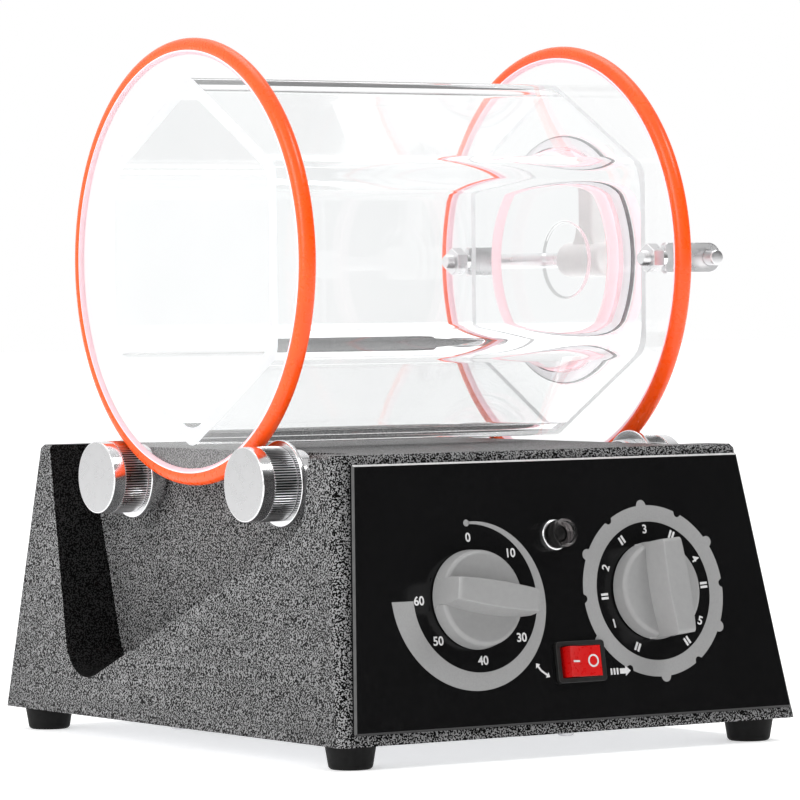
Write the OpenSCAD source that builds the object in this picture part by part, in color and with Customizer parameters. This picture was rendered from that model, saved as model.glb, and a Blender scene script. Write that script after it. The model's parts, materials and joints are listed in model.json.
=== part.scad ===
// Rotary drum tumbler: a clear hexagonal barrel between two round flanges, driven on
// four wheels by a geared motor inside a sloping sheet-metal base.
// Millimetres, +Z up, drum axis along X, controls facing -Y.
// The origin is under the middle of the whole machine, on the surface it stands on.

/* [Base] */
// Length of the base along X at its lower edge
base_len = 208; // [204:1:214]
// Depth of the base along Y at its lower edge
base_depth = 248; // [246:1:254]
// Height of the flat deck above the table
deck_z = 113.5; // [113:0.5:114.5]
// Height of the base's lower edge above the table
base_z = 9; // [8:0.5:10]
// How far the left end leans in between the lower edge and the deck
lean_left = 8.5; // [7:0.5:10]
// How far the right end leans in
lean_right = 14.5; // [12:0.5:15]
// How far the front leans in
lean_front = 17.5; // [16:0.5:19]
// How far the back leans in
lean_rear = 14.5; // [12:0.5:16]
// Thickness of the sheet steel
sheet = 1.2; // [1:0.1:1.5]
// Distance that the base's middle lies behind the drum axis
base_shift = 2.5; // [0:0.5:4]

/* [Wheel pockets] */
// X of the left pocket's upright plate
pocket_left_x = -77; // [-78:0.5:-76]
// X of the right pocket's upright plate
pocket_right_x = 69; // [68:0.5:70]
// Y of the pocket's front wall
pocket_front_y = -88; // [-89:0.5:-86]
// Y of the pocket's sloping rear wall at the deck
pocket_rear_y = 102.3; // [100:0.5:103]
// Lean of the pocket's rear wall from upright
pocket_rear_lean = 16.4; // [15:0.2:18]
// Rise of the pocket's floor towards the front
pocket_rise = 23; // [21:0.5:24]
// Height of the pocket's floor under the drum axis
pocket_floor_z = 48.8; // [46:0.5:50]

/* [Drum] */
// Height of the drum's axis above the table
drum_z = 185; // [184.5:0.5:187]
// Outer radius of the two tyres
tyre_r = 85; // [84.5:0.1:85.2]
// Thickness of the round tyre cord
tyre_d = 6.4; // [6:0.1:6.6]
// X of the left tyre
tyre_left_x = -91; // [-91.5:0.5:-90.5]
// X of the right tyre
tyre_right_x = 81; // [80.5:0.5:81.5]
// Thickness of each flange
flange_t = 6; // [5:0.5:6.5]
// Outer radius of each flange
flange_r = 80.6; // [80:0.1:81]
// Distance from the drum's axis to the barrel's flats
barrel_flat = 61.5; // [58:0.5:61.5]
// Wall of the barrel
barrel_wall = 5; // [4:0.5:6]
// Radius of the round mouth in the right flange
mouth_r = 41.5; // [38:0.5:43]

/* [Lid and clamp] */
// Radius of the lid's outer disc
lid_r = 47; // [45:0.5:49]
// Distance of the clamp rod beyond the right flange
rod_reach = 18; // [17.5:0.5:20]
// Diameter of the clamp rod
rod_d = 6; // [5:0.5:6]
// Distance of each eye link from the drum's axis
link_y = 69; // [69:0.5:70]
// Length of the cam lever's handle above the rod
lever_len = 43; // [35:1:44]
// Offset of the cam's round from the rod
cam_offset = 1.5; // [1.4:0.1:1.6]

/* [Wheels] */
// Half the distance between the two wheel shafts
shaft_y = 54; // [52:0.5:55]
// Radius that the tyres ride on
wheel_r = 14; // [13.5:0.1:14.2]
// Radius of the wheel's inner flange
wheel_flange_r = 16.2; // [15.8:0.1:16.4]
// Diameter of the wheel shafts
shaft_d = 8; // [7:0.5:8]

/* [Controls] */
// Diameter of the two knobs
knob_d = 37; // [36:0.2:38]
// X of the timer knob
timer_x = -41.5; // [-43:0.5:-40]
// X of the speed knob
speed_x = 40; // [39:0.5:41]
// Height of both knobs up the sloping front
knob_s = 51; // [50:0.5:52]
// Direction of the timer's pointer, clockwise from the top
timer_pointer = 100; // [90:0.5:103]
// Direction of the speed knob's pointer, clockwise from the top
speed_pointer = 176; // [175:0.5:180]

/* [Hidden] */
$fn = 64;
eps = 0.01;
run_fit = 0.05;        // radial clearance of a turning or sliding fit

// Base outline: lower edge and deck edge
base_h = deck_z - base_z;
low = [-base_len / 2, base_len / 2, base_shift - base_depth / 2, base_shift + base_depth / 2];
top = [low[0] + lean_left, low[1] - lean_right, low[2] + lean_front, low[3] - lean_rear];
corner_r = 4;          // upright corners of the base
deck_edge = 1.5;       // softened edge round the deck
front_lean = atan(lean_front / base_h);
rear_lean = atan(lean_rear / base_h);

// Knob heights, in millimetres out from the sheet
panel_t = 2;
knob_gap = 0.6;
knob_skirt_h = 6.5;
knob_bar_h = 11;
knob_bar_half = 0.48 * knob_d;
knob_bar_tip = 4.8;    // half width of the bar at its pointer
knob_front = panel_t + knob_gap + knob_skirt_h + knob_bar_h;

// Wheel shafts: the tyres rest on the wheels with a hair of clearance
tyre_gap = 0.05;
shaft_z = drum_z - sqrt(pow(tyre_r + wheel_r + tyre_gap, 2) - pow(shaft_y, 2));
shaft_r = shaft_d / 2;
band_w = 8.5;          // the band of the wheel that carries the tyre
cap_w = 7;
wheel_flange_w = 2;
boss_r = 12.5;
boss_gap = 0.4;        // between the boss and the pocket's plate
bearing_r = 8;
bearing_len = 6;
left_cap_x = tyre_left_x - band_w / 2 - cap_w;
right_cap_x = tyre_right_x + band_w / 2 + cap_w;

// Clamp
mouth_x = tyre_right_x + flange_t / 2;
rod_x = mouth_x + rod_reach;
rod_r = rod_d / 2;
hub_r = 7;
hub_y = -5;            // middle of the lever's hub along the rod
hub_len = 26;
link_t = 3;
link_r = 6;            // rounded end of an eye link
rod_low_y = -76;
rod_high_y = 74;
cam_gap = 0.1;
lid_face_x = rod_x - cam_offset - hub_r - cam_gap;
gasket_t = 2;
lid_t = 5;

// Drive
pulley_x = 46;
pulley_w = 10;
pulley_r = 8.5;
motor_y = shaft_y;
motor_z = 46;
motor_r = 25;
floor_z = base_z + 1.5;

// Middle of the whole machine, so that the origin lies under it
far_y = low[2] + (knob_s - knob_bar_half * cos(180 - speed_pointer)
        - knob_bar_tip * sin(180 - speed_pointer)) * sin(front_lean) - knob_front * cos(front_lean);
mid = [(low[0] + rod_x + link_r) / 2, (far_y + low[3]) / 2];

// Puts a piece in the machine's own frame
module framed() translate([-mid[0], -mid[1], 0]) children();

// Places a piece on the sloping front: across, up the slope, out of the sheet
module on_front(u, s)
    translate([0, low[2], base_z]) rotate([90 - front_lean, 0, 0]) translate([u, s, 0]) children();

// Places a piece on the sloping back, across as seen from behind
module on_rear(u, s)
    translate([0, low[3], base_z]) rotate([0, 0, 180]) rotate([90 - rear_lean, 0, 0])
        translate([u, s, 0]) children();

// A cylinder along X from x0 to x1 with its axis at y, z
module rod_along_x(r, x0, x1, y, z)
    translate([x0, y, z]) rotate([0, 90, 0]) cylinder(r = r, h = x1 - x0);

module box(x, y, z) translate([x[0], y[0], z[0]]) cube([x[1] - x[0], y[1] - y[0], z[1] - z[0]]);

// Arc points that round the corner b between a and c with radius r
function unit(v) = v / norm(v);
function arc_points(a, b, c, r, n = 8) =
    let (p = unit(a - b), q = unit(c - b),
         half = acos(p * q) / 2,
         middle = b + unit(p + q) * r / sin(half),
         t0 = b + p * r / tan(half) - middle,
         t1 = b + q * r / tan(half) - middle,
         turn = acos(unit(t0) * unit(t1)) * (t0[0] * t1[1] - t0[1] * t1[0] > 0 ? 1 : -1))
    [for (i = [0:n]) let (g = turn * i / n)
        middle + [t0[0] * cos(g) - t0[1] * sin(g), t0[0] * sin(g) + t0[1] * cos(g)]];
function rounded(points, radii) =
    let (n = len(points))
    [for (i = [0:n - 1])
        for (q = radii[i] == 0 ? [points[i]]
            : arc_points(points[(i + n - 1) % n], points[i], points[(i + 1) % n], radii[i])) q];

// ---- Base ---------------------------------------------------------------

// The tapered block of the base, shrunk by inset on its sides and deck
module base_block(inset, z0) {
    r = corner_r - inset / 2;
    hull() {
        for (x = [low[0] + inset + r, low[1] - inset - r], y = [low[2] + inset + r, low[3] - inset - r])
            translate([x, y, z0]) cylinder(r = r, h = eps, $fn = 32);
        for (x = [top[0] + inset + r, top[1] - inset - r], y = [top[2] + inset + r, top[3] - inset - r])
            translate([x, y, deck_z - inset - deck_edge])
                cylinder(r1 = r, r2 = r - deck_edge, h = deck_edge, $fn = 32);
    }
}

// Outline of a wheel pocket in Y and Z, grown by g; it is open above the deck
rear_slope = tan(pocket_rear_lean);
floor_slope = tan(pocket_rise);
heel_y = (pocket_rear_y + rear_slope * (pocket_floor_z - deck_z)) / (1 + rear_slope * floor_slope);
heel_z = pocket_floor_z - floor_slope * heel_y;
module pocket_outline(g) {
    up = deck_z + 10;
    front = pocket_front_y - g;
    heel = [heel_y + 1.4 * g, heel_z - 0.8 * g];
    polygon(rounded([[front, up],
                     [front, heel[1] + floor_slope * (heel[0] - front)],
                     heel,
                     [heel[0] + rear_slope * (up - heel[1]), up]], [0, 16 + g, 18 + g, 0]));
}
module pocket(g, x0, x1)
    translate([x0, 0, 0]) rotate([90, 0, 90]) linear_extrude(x1 - x0) pocket_outline(g);
module both_pockets(g) {
    pocket(g, low[0] - 5, pocket_left_x + g);
    pocket(g, pocket_right_x - g, low[1] + 5);
}

// Screw places: feet near the corners, plate screws at the middle of each side
foot_x = 91;
foot_y = 110;
foot_places = [for (x = [-foot_x, foot_x], y = [-foot_y, foot_y]) [x, base_shift + y]];
side_places = [[-97, base_shift], [97, base_shift], [0, base_shift - 117], [0, base_shift + 117]];
tab_t = 1.5;

module lower_tabs() {
    intersection() {
        base_block(sheet / 2, floor_z);
        union() {
            for (p = concat(foot_places, side_places))
                translate([p[0] - 15, p[1] - 14, floor_z]) cube([30, 28, tab_t]);
        }
    }
}

// The folded and welded shell of the base, with its pockets and cutouts
module base_shell() {
    difference() {
        union() {
            difference() {
                base_block(0, base_z);
                translate([0, 0, -eps]) base_block(sheet, base_z);
            }
            intersection() {
                base_block(0, base_z);
                both_pockets(sheet);
            }
            lower_tabs();
        }
        both_pockets(0);
        for (y = [-shaft_y, shaft_y]) rod_along_x(bearing_r, low[0], low[1], y, shaft_z);
        for (p = foot_places) translate([p[0], p[1], base_z]) cylinder(r = 2.1, h = 8);
        for (p = side_places) translate([p[0], p[1], base_z]) cylinder(r = 1.6, h = 8);
        for (x = [timer_x, speed_x]) on_front(x, knob_s) translate([0, 0, -3]) cylinder(r = 5, h = 6);
        on_front(lamp_x, lamp_s) translate([0, 0, -3]) cylinder(r = 4.5, h = 6);
        on_front(rocker_x, rocker_s) rocker_block(rocker_body_w, rocker_body_h, -3, 3);
        on_rear(inlet_x, inlet_s) rocker_block(inlet_w, inlet_h, -3, 3);
        on_rear(inlet_x, inlet_s)
            for (x = [-inlet_screw_x, inlet_screw_x])
                translate([x, 0, -3]) cylinder(r = 1.6, h = 6);
    }
}

// The shell is three weldments: a folded middle, and an end with its pocket on each side of it
seam_left_x = pocket_left_x + sheet + 2;
seam_right_x = pocket_right_x - sheet - 2;
module shell_between(x0, x1)
    framed() color("dimgray") intersection() {
        base_shell();
        box([x0, x1], [low[2] - 1, low[3] + 1], [0, deck_z + 1]);
    }
module housing() { shell_between(seam_left_x, seam_right_x); }
module left_end() { shell_between(low[0] - 1, seam_left_x); }
module right_end() { shell_between(seam_right_x, low[1] + 1); }

module base_plate() {
    vent_x = -24;          // middle of the row of air slots under the motor
    slot_w = 5;
    slot_len = 40;
    plate_gap = 0.3;
    inset = sheet + plate_gap;
    framed() color("silver") difference() {
        translate([low[0] + inset, low[2] + inset, base_z])
            cube([base_len - 2 * inset, base_depth - 2 * inset, floor_z - base_z]);
        for (p = foot_places) translate([p[0], p[1], base_z - 1]) cylinder(r = 2.1, h = 5);
        for (p = side_places) translate([p[0], p[1], base_z - 1]) cylinder(r = 1.6, h = 5);
        for (i = [-2:2])
            translate([vent_x + 2 * i * slot_w - slot_w / 2, motor_y - slot_len / 2, base_z - 1])
                cube([slot_w, slot_len, 5]);
        for (x = motor_screw_x, y = motor_screw_y)
            translate([x, y, base_z - 1]) cylinder(r = 2, h = 5);
        for (x = transformer_screw_x)
            translate([x, transformer_y, base_z - 1]) cylinder(r = 2, h = 5);
    }
}

module base_screws() {
    framed() color("silver") for (p = side_places) translate([p[0], p[1], base_z - 1.6]) {
        cylinder(r = 3, h = 1.6);
        cylinder(r = 1.6, h = 7);
    }
}

module foot(x, y) {
    bottom_r = 8;
    top_r = 9.5;
    framed() color([0.07, 0.07, 0.07]) translate([x, base_shift + y, 0]) difference() {
        cylinder(r1 = bottom_r, r2 = top_r, h = base_z);
        translate([0, 0, -1]) cylinder(r = 4.2, h = 5);
        translate([0, 0, -1]) cylinder(r = 2.1, h = base_z + 2);
    }
}
module foot_front_left() { foot(-foot_x, -foot_y); }
module foot_front_right() { foot(foot_x, -foot_y); }
module foot_rear_left() { foot(-foot_x, foot_y); }
module foot_rear_right() { foot(foot_x, foot_y); }

module foot_screws() {
    framed() color("silver") for (p = foot_places) translate([p[0], p[1], 0]) {
        translate([0, 0, 2]) cylinder(r = 3.8, h = 2);
        translate([0, 0, 2]) cylinder(r = 2.1, h = 15);
        translate([0, 0, floor_z + tab_t]) cylinder(r = 4, h = 3.2, $fn = 6);
    }
}

// ---- Front panel and controls ------------------------------------------

lamp_x = -2.3;
lamp_s = 73.6;
rocker_x = 3;
rocker_s = 26;
rocker_body_w = 19.2;
rocker_body_h = 12.8;
panel_low_s = 4;
panel_high_s = 102.3;

module rocker_block(w, h, z0, z1) translate([-w / 2, -h / 2, z0]) cube([w, h, z1 - z0]);

module control_panel() {
    framed() color([0.04, 0.04, 0.045]) on_front(0, 0) difference() {
        linear_extrude(panel_t)
            polygon([[-98.8, panel_low_s], [100.3, panel_low_s], [87.2, panel_high_s],
                     [-88.4, panel_high_s]]);
        for (x = [timer_x, speed_x]) translate([x, knob_s, -1]) cylinder(r = 5, h = 5);
        translate([lamp_x, lamp_s, -1]) cylinder(r = 4.5, h = 5);
        translate([rocker_x, rocker_s, 0]) rocker_block(rocker_body_w, rocker_body_h, -1, 5);
    }
}

// Furthest that the sheet's inner face lies behind its outer one, where the slope thickens it
behind = sheet + 0.4;

// A switch body behind the sheet with its bush through it; the shaft turns in the bush
module switch_body(x, depth) {
    on_front(x, knob_s) difference() {
        union() {
            translate([0, 0, -behind - depth]) children();
            translate([0, 0, -behind - 1]) cylinder(r = 5, h = behind + 1 + panel_t + 0.4);
        }
        translate([0, 0, 1 - behind - depth]) cylinder(r = spindle_r + run_fit, h = depth + 10);
    }
}
spindle_r = 3;
timer_depth = 30;
speed_depth = 24;
module timer_unit() {
    framed() color("gainsboro") switch_body(timer_x, timer_depth)
        translate([-22, -22, 0]) cube([44, 44, timer_depth]);
}
module speed_switch() {
    framed() color("saddlebrown") switch_body(speed_x, speed_depth) cylinder(r = 16, h = speed_depth);
}
module spindle(x, depth) {
    on_front(x, knob_s) translate([0, 0, 2 - behind - depth])
        cylinder(r = spindle_r, h = depth + behind - 2 + knob_front - 8);
}
module timer_shaft() { framed() color("silver") spindle(timer_x, timer_depth); }
module speed_shaft() { framed() color("silver") spindle(speed_x, speed_depth); }

// A round skirt with a raised grip bar across it; the bar narrows towards its pointer at +Y
module knob(x, pointer) {
    r = knob_d / 2;
    edge = 1.2;
    tail = 6.4;
    on_front(x, knob_s) translate([0, 0, panel_t + knob_gap]) rotate([0, 0, -pointer]) difference() {
        union() {
            rotate_extrude() polygon(rounded([[0, 0], [r, 0], [r - 0.8, knob_skirt_h],
                                              [0, knob_skirt_h]], [0, 0, edge, 0]));
            intersection() {
                linear_extrude(knob_skirt_h + knob_bar_h)
                    polygon([[-tail, -knob_bar_half], [tail, -knob_bar_half],
                             [knob_bar_tip, knob_bar_half], [-knob_bar_tip, knob_bar_half]]);
                rotate([90, 0, 0]) translate([0, 0, -r]) linear_extrude(2 * r)
                    polygon([[-tail - 0.5, 0], [tail + 0.5, 0], [knob_bar_tip, knob_skirt_h + knob_bar_h],
                             [-knob_bar_tip, knob_skirt_h + knob_bar_h]]);
            }
        }
        translate([0, 0, -1]) cylinder(r = spindle_r, h = 1 + knob_skirt_h + knob_bar_h - 8);
        translate([0, 0, -1]) cylinder(r = 7, h = 3);
    }
}
module timer_knob() { framed() color("silver") knob(timer_x, timer_pointer); }
module speed_knob() { framed() color("silver") knob(speed_x, speed_pointer); }

lamp_r = 5.8;
lamp_ring_h = 1.3;
lens_r = 5.3;
lens_h = 7.6;          // height of the lens over the panel
lens_stem_r = 3.6;
module lamp_bezel() {
    framed() color("silver") on_front(lamp_x, lamp_s) difference() {
        union() {
            translate([0, 0, panel_t]) cylinder(r = lamp_r, h = lamp_ring_h);
            translate([0, 0, -20]) cylinder(r = 4.4, h = 20 + panel_t);
            translate([0, 0, -behind - 3]) cylinder(r = 6.5, h = 3, $fn = 6);
        }
        translate([0, 0, -18]) cylinder(r = lens_stem_r, h = 30);
    }
}
// A clear tube lens with a raised rim round its recessed front
module lamp_lens() {
    rim = 0.9;
    framed() color([0.8, 0.8, 0.82, 0.5]) on_front(lamp_x, lamp_s) difference() {
        union() {
            translate([0, 0, -8]) cylinder(r = lens_stem_r, h = 8 + panel_t + lamp_ring_h);
            translate([0, 0, panel_t + lamp_ring_h]) cylinder(r = lens_r, h = lens_h - lamp_ring_h);
        }
        translate([0, 0, panel_t + lens_h - 1]) cylinder(r = lens_r - rim, h = 2);
    }
}

rocker_bezel_w = 22;
rocker_bezel_h = 15.4;
rocker_w = 17.6;
rocker_h = 11.4;
rocker_pivot = panel_t - 1.5;   // height of the rocker's pin over the sheet
rocker_tilt = 11;
rocker_half = 8.6;                // reach of the rocker's two faces from its pin
rocker_pin_r = 1.2;
module rocker_body() {
    framed() color([0.06, 0.06, 0.06]) on_front(rocker_x, rocker_s) union() {
        difference() {
            union() {
                translate([0, 0, panel_t]) linear_extrude(1.8)
                    polygon(rounded([for (c = [[-1, -1], [1, -1], [1, 1], [-1, 1]])
                                     [c[0] * rocker_bezel_w / 2, c[1] * rocker_bezel_h / 2]],
                                    [1.5, 1.5, 1.5, 1.5]));
                rocker_block(rocker_body_w - 0.4, rocker_body_h - 0.4, -18, panel_t);
            }
            rocker_block(rocker_w + 0.7, rocker_h + 0.4, panel_t - 9, panel_t + 5);
        }
        translate([0, 0, rocker_pivot]) rotate([90, 0, 0])
            cylinder(r = rocker_pin_r, h = rocker_h + 0.8, center = true);
    }
}
// The rocker lies tilted in its well: its right half is pressed in
module rocker() {
    face = rocker_half * sin(rocker_tilt);
    framed() color([0.85, 0.05, 0.05]) on_front(rocker_x, rocker_s)
        translate([0, 0, rocker_pivot]) rotate([90, 0, 0]) rotate([0, 0, -rocker_tilt])
            translate([0, 0, -rocker_h / 2]) linear_extrude(rocker_h) difference() {
                polygon([[-rocker_half + 0.6, -1.5], [0, -4], [rocker_half - 0.6, -1.5],
                         [rocker_half - 0.5, 3.4 + face], [0, 3.4], [-rocker_half + 0.5, 3.4 + face]]);
                circle(r = rocker_pin_r + run_fit);
            }
}

// Mains inlet on the sloping back: a recessed socket with three blades
inlet_x = 45;
inlet_s = 30;
inlet_w = 27;
inlet_h = 20;
inlet_screw_x = 20;
module power_inlet() {
    framed() color([0.05, 0.05, 0.05]) on_rear(inlet_x, inlet_s) difference() {
        union() {
            rocker_block(50, 24, 0, 2.5);
            rocker_block(inlet_w - 0.6, inlet_h - 0.6, -20, 0);
        }
        rocker_block(24, 16.4, -16, 5);
        for (x = [-inlet_screw_x, inlet_screw_x]) translate([x, 0, -1]) cylinder(r = 1.6, h = 5);
        inlet_blades();
    }
}
module inlet_blades()
    for (p = [[-7, -1.5], [0, 2.5], [7, -1.5]])
        translate([p[0], p[1], -24]) rocker_block(2, 4, 0, 20);
module inlet_pins() { framed() color("gold") on_rear(inlet_x, inlet_s) inlet_blades(); }

// ---- Transformer --------------------------------------------------------

transformer_x = -20;
transformer_y = -18;
transformer_screw_x = [transformer_x - 36, transformer_x + 36];
module transformer_core() {
    framed() color("slategray") difference() {
        union() {
            box([transformer_x - 28, transformer_x + 28], [transformer_y - 17, transformer_y + 17],
                [floor_z, floor_z + 46]);
            box([transformer_x - 42, transformer_x + 42], [transformer_y - 10, transformer_y + 10],
                [floor_z, floor_z + 2]);
        }
        for (sx = [-1, 1])
            box([transformer_x + sx * 14 - 5, transformer_x + sx * 14 + 5],
                [transformer_y - 20, transformer_y + 20], [floor_z + 9, floor_z + 37]);
        for (x = transformer_screw_x) translate([x, transformer_y, floor_z - 1]) cylinder(r = 2, h = 5);
    }
}
module transformer_coil() {
    framed() color("orangered") difference() {
        box([transformer_x - 18.5, transformer_x + 18.5], [transformer_y - 25, transformer_y + 25],
            [floor_z + 9.5, floor_z + 36.5]);
        box([transformer_x - 30, transformer_x - 9], [transformer_y - 17, transformer_y + 17],
            [floor_z + 5, floor_z + 9.6]);
        box([transformer_x - 9, transformer_x + 9], [transformer_y - 17, transformer_y + 17],
            [floor_z, floor_z + 50]);
    }
}
module transformer_screws() {
    framed() color("silver") for (x = transformer_screw_x) translate([x, transformer_y, 0]) {
        translate([0, 0, floor_z + 2]) cylinder(r = 3.8, h = 2);
        translate([0, 0, base_z]) cylinder(r = 2, h = floor_z + 2 - base_z);
    }
}

// ---- Motor and belt drive ----------------------------------------------

bracket_x = 33;
bracket_t = 2.5;
gearbox_len = 24;
motor_len = 55;
motor_screw_x = [8, 24];
motor_screw_y = [motor_y - 20, motor_y + 20];
module motor_body() {
    framed() color("darkgray") union() {
        x1 = bracket_x - gearbox_len;
        rod_along_x(motor_r, x1 - motor_len, x1, motor_y, motor_z);
        rod_along_x(8, x1 - motor_len - 4, x1 - motor_len, motor_y, motor_z);
    }
}
module motor_gearbox() {
    framed() color("gray") difference() {
        box([bracket_x - gearbox_len, bracket_x], [motor_y - 26, motor_y + 26],
            [motor_z - 26, motor_z + 26]);
        rod_along_x(shaft_r + run_fit, bracket_x - 18, bracket_x + 5, motor_y, motor_z);
    }
}
module motor_bracket() {
    framed() color("lightsteelblue") difference() {
        union() {
            box([bracket_x, bracket_x + bracket_t], [motor_y - 27, motor_y + 27],
                [floor_z, motor_z + 27]);
            box([0, bracket_x + bracket_t], [motor_y - 27, motor_y + 27], [floor_z, floor_z + bracket_t]);
        }
        rod_along_x(8, bracket_x - 5, bracket_x + 8, motor_y, motor_z);
        for (x = motor_screw_x, y = motor_screw_y) translate([x, y, floor_z - 1]) cylinder(r = 2, h = 5);
        for (y = motor_screw_y, z = [motor_z - 20, motor_z + 20])
            rod_along_x(2, bracket_x - 5, bracket_x + 8, y, z);
    }
}
module motor_screws() {
    framed() color("silver") {
        for (x = motor_screw_x, y = motor_screw_y) translate([x, y, 0]) {
            translate([0, 0, floor_z + bracket_t]) cylinder(r = 3.8, h = 2.2);
            translate([0, 0, base_z]) cylinder(r = 2, h = floor_z + bracket_t - base_z);
        }
        for (y = motor_screw_y, z = [motor_z - 20, motor_z + 20]) {
            rod_along_x(2, bracket_x, bracket_x + bracket_t, y, z);
            rod_along_x(3.8, bracket_x + bracket_t, bracket_x + bracket_t + 2.2, y, z);
        }
    }
}
module motor_shaft() {
    framed() color("silver")
        rod_along_x(shaft_r, bracket_x - 17, pulley_x + pulley_w / 2 + 2, motor_y, motor_z);
}
module pulley(y, z) {
    groove = 1.6;
    difference() {
        translate([pulley_x, y, z]) rotate([0, 90, 0]) rotate_extrude()
            polygon([[0, -pulley_w / 2], [pulley_r, -pulley_w / 2], [pulley_r, -3],
                     [pulley_r - groove, -3], [pulley_r - groove, 3], [pulley_r, 3],
                     [pulley_r, pulley_w / 2], [0, pulley_w / 2]]);
        rod_along_x(shaft_r, pulley_x - pulley_w, pulley_x + pulley_w, y, z);
    }
}
module motor_pulley() { framed() color("gainsboro") pulley(motor_y, motor_z); }
module drive_pulley() { framed() color("gainsboro") pulley(shaft_y, shaft_z); }
// A flat belt round the two equal pulleys, running upright between them
module belt_outline(r) {
    circle(r = r);
    translate([shaft_z - motor_z, 0]) circle(r = r);
    translate([0, -r]) square([shaft_z - motor_z, 2 * r]);
}
module drive_belt() {
    belt_w = 5;
    inner_r = pulley_r - 1.6 + 0.08;
    framed() color([0.1, 0.1, 0.1]) translate([pulley_x - belt_w / 2, motor_y, motor_z])
        rotate([90, 0, 90]) rotate([0, 0, 90]) linear_extrude(belt_w) difference() {
            belt_outline(inner_r + 1.4);
            belt_outline(inner_r);
        }
}

// ---- Wheel shafts, wheels and bearings ---------------------------------

module wheel_shaft(y) rod_along_x(shaft_r, left_cap_x + 4, right_cap_x - 4, y, shaft_z);
module drive_shaft() { framed() color("silver") wheel_shaft(shaft_y); }
module idler_shaft() { framed() color("silver") wheel_shaft(-shaft_y); }

// A wheel outside the plate at plate_x: boss, inner flange, tyre band, smooth cap.
// It is drawn on its side with +Z pointing away from the base (side is -1 or 1).
module wheel(side, tyre_x, plate_x, y) {
    band_end = abs(tyre_x - plate_x) + band_w / 2;
    band_start = band_end - band_w;
    translate([plate_x, y, shaft_z]) rotate([0, side * 90, 0]) difference() {
        rotate_extrude() polygon([[0, boss_gap], [boss_r, boss_gap],
            [boss_r, band_start - wheel_flange_w], [wheel_flange_r - 0.4, band_start - wheel_flange_w],
            [wheel_flange_r, band_start - wheel_flange_w + 0.4], [wheel_flange_r, band_start],
            [wheel_r, band_start], [wheel_r, band_end + cap_w - 0.8],
            [wheel_r - 0.8, band_end + cap_w], [0, band_end + cap_w]]);
        translate([0, 0, boss_gap - 1]) cylinder(r = shaft_r, h = band_end + cap_w - 4 + 1 - boss_gap);
        translate([0, 0, 4]) rotate([90, 0, 0]) cylinder(r = 2, h = boss_r + 1);
    }
}
module drive_wheel_left() { framed() color("silver") wheel(-1, tyre_left_x, pocket_left_x, shaft_y); }
module drive_wheel_right() { framed() color("silver") wheel(1, tyre_right_x, pocket_right_x, shaft_y); }
module idler_wheel_left() { framed() color("silver") wheel(-1, tyre_left_x, pocket_left_x, -shaft_y); }
module idler_wheel_right() { framed() color("silver") wheel(1, tyre_right_x, pocket_right_x, -shaft_y); }

// Grub screws in the wheels' bosses
module grub_screws(y) {
    for (x = [pocket_left_x - 4, pocket_right_x + 4])
        translate([x, y, shaft_z]) rotate([90, 0, 0])
            translate([0, 0, shaft_r]) cylinder(r = 2, h = 6);
}
module drive_set_screws() { framed() color([0.2, 0.2, 0.2]) grub_screws(shaft_y); }
module idler_set_screws() { framed() color([0.2, 0.2, 0.2]) grub_screws(-shaft_y); }

// A bush in the pocket's plate, with a flange behind it
module bearing(side, plate_x, y) {
    translate([plate_x, y, shaft_z]) rotate([0, -side * 90, 0]) difference() {
        union() {
            cylinder(r = bearing_r, h = bearing_len);
            translate([0, 0, sheet]) cylinder(r = bearing_r + 2, h = 1.5);
        }
        translate([0, 0, -1]) cylinder(r = shaft_r + run_fit, h = bearing_len + 2);
    }
}
module bearing_rear_left() { framed() color("peru") bearing(-1, pocket_left_x, shaft_y); }
module bearing_rear_right() { framed() color("peru") bearing(1, pocket_right_x, shaft_y); }
module bearing_front_left() { framed() color("peru") bearing(-1, pocket_left_x, -shaft_y); }
module bearing_front_right() { framed() color("peru") bearing(1, pocket_right_x, -shaft_y); }

// Collars inside the bearings stop the shafts from sliding along X
module collars(y) {
    inside = bearing_len + 0.4;
    for (x = [pocket_left_x + inside, pocket_right_x - inside - 5])
        difference() {
            rod_along_x(8, x, x + 5, y, shaft_z);
            rod_along_x(shaft_r, x - 1, x + 6, y, shaft_z);
        }
}
module drive_collars() { framed() color("gray") collars(shaft_y); }
module idler_collars() { framed() color("gray") collars(-shaft_y); }

// ---- Drum ---------------------------------------------------------------

barrel_left_x = tyre_left_x + flange_t / 2;
barrel_right_x = tyre_right_x - flange_t / 2;

// A hexagon with corners at the top and bottom, rounded with radius r
function hexagon(flat, r) =
    rounded([for (i = [0:5]) flat / cos(30) * [cos(60 * i), sin(60 * i)]], [for (i = [0:5]) r]);

// Turns a flat outline so that its first axis is up and extrudes it along X
module along_x(x0, x1)
    translate([x0, 0, drum_z]) rotate([0, 90, 0]) linear_extrude(x1 - x0) children();

module barrel() {
    framed() color([0.85, 0.92, 0.95, 0.4]) along_x(barrel_left_x, barrel_right_x) difference() {
        polygon(hexagon(barrel_flat, 8));
        polygon(hexagon(barrel_flat - barrel_wall, 14));
    }
}

module flange_disc(x) rod_along_x(flange_r, x - flange_t / 2, x + flange_t / 2, 0, drum_z);
module tyre_ring(x)
    translate([x, 0, drum_z]) rotate([0, 90, 0]) rotate_extrude($fn = 128)
        translate([tyre_r - tyre_d / 2, 0]) circle(d = tyre_d, $fn = 32);

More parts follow.
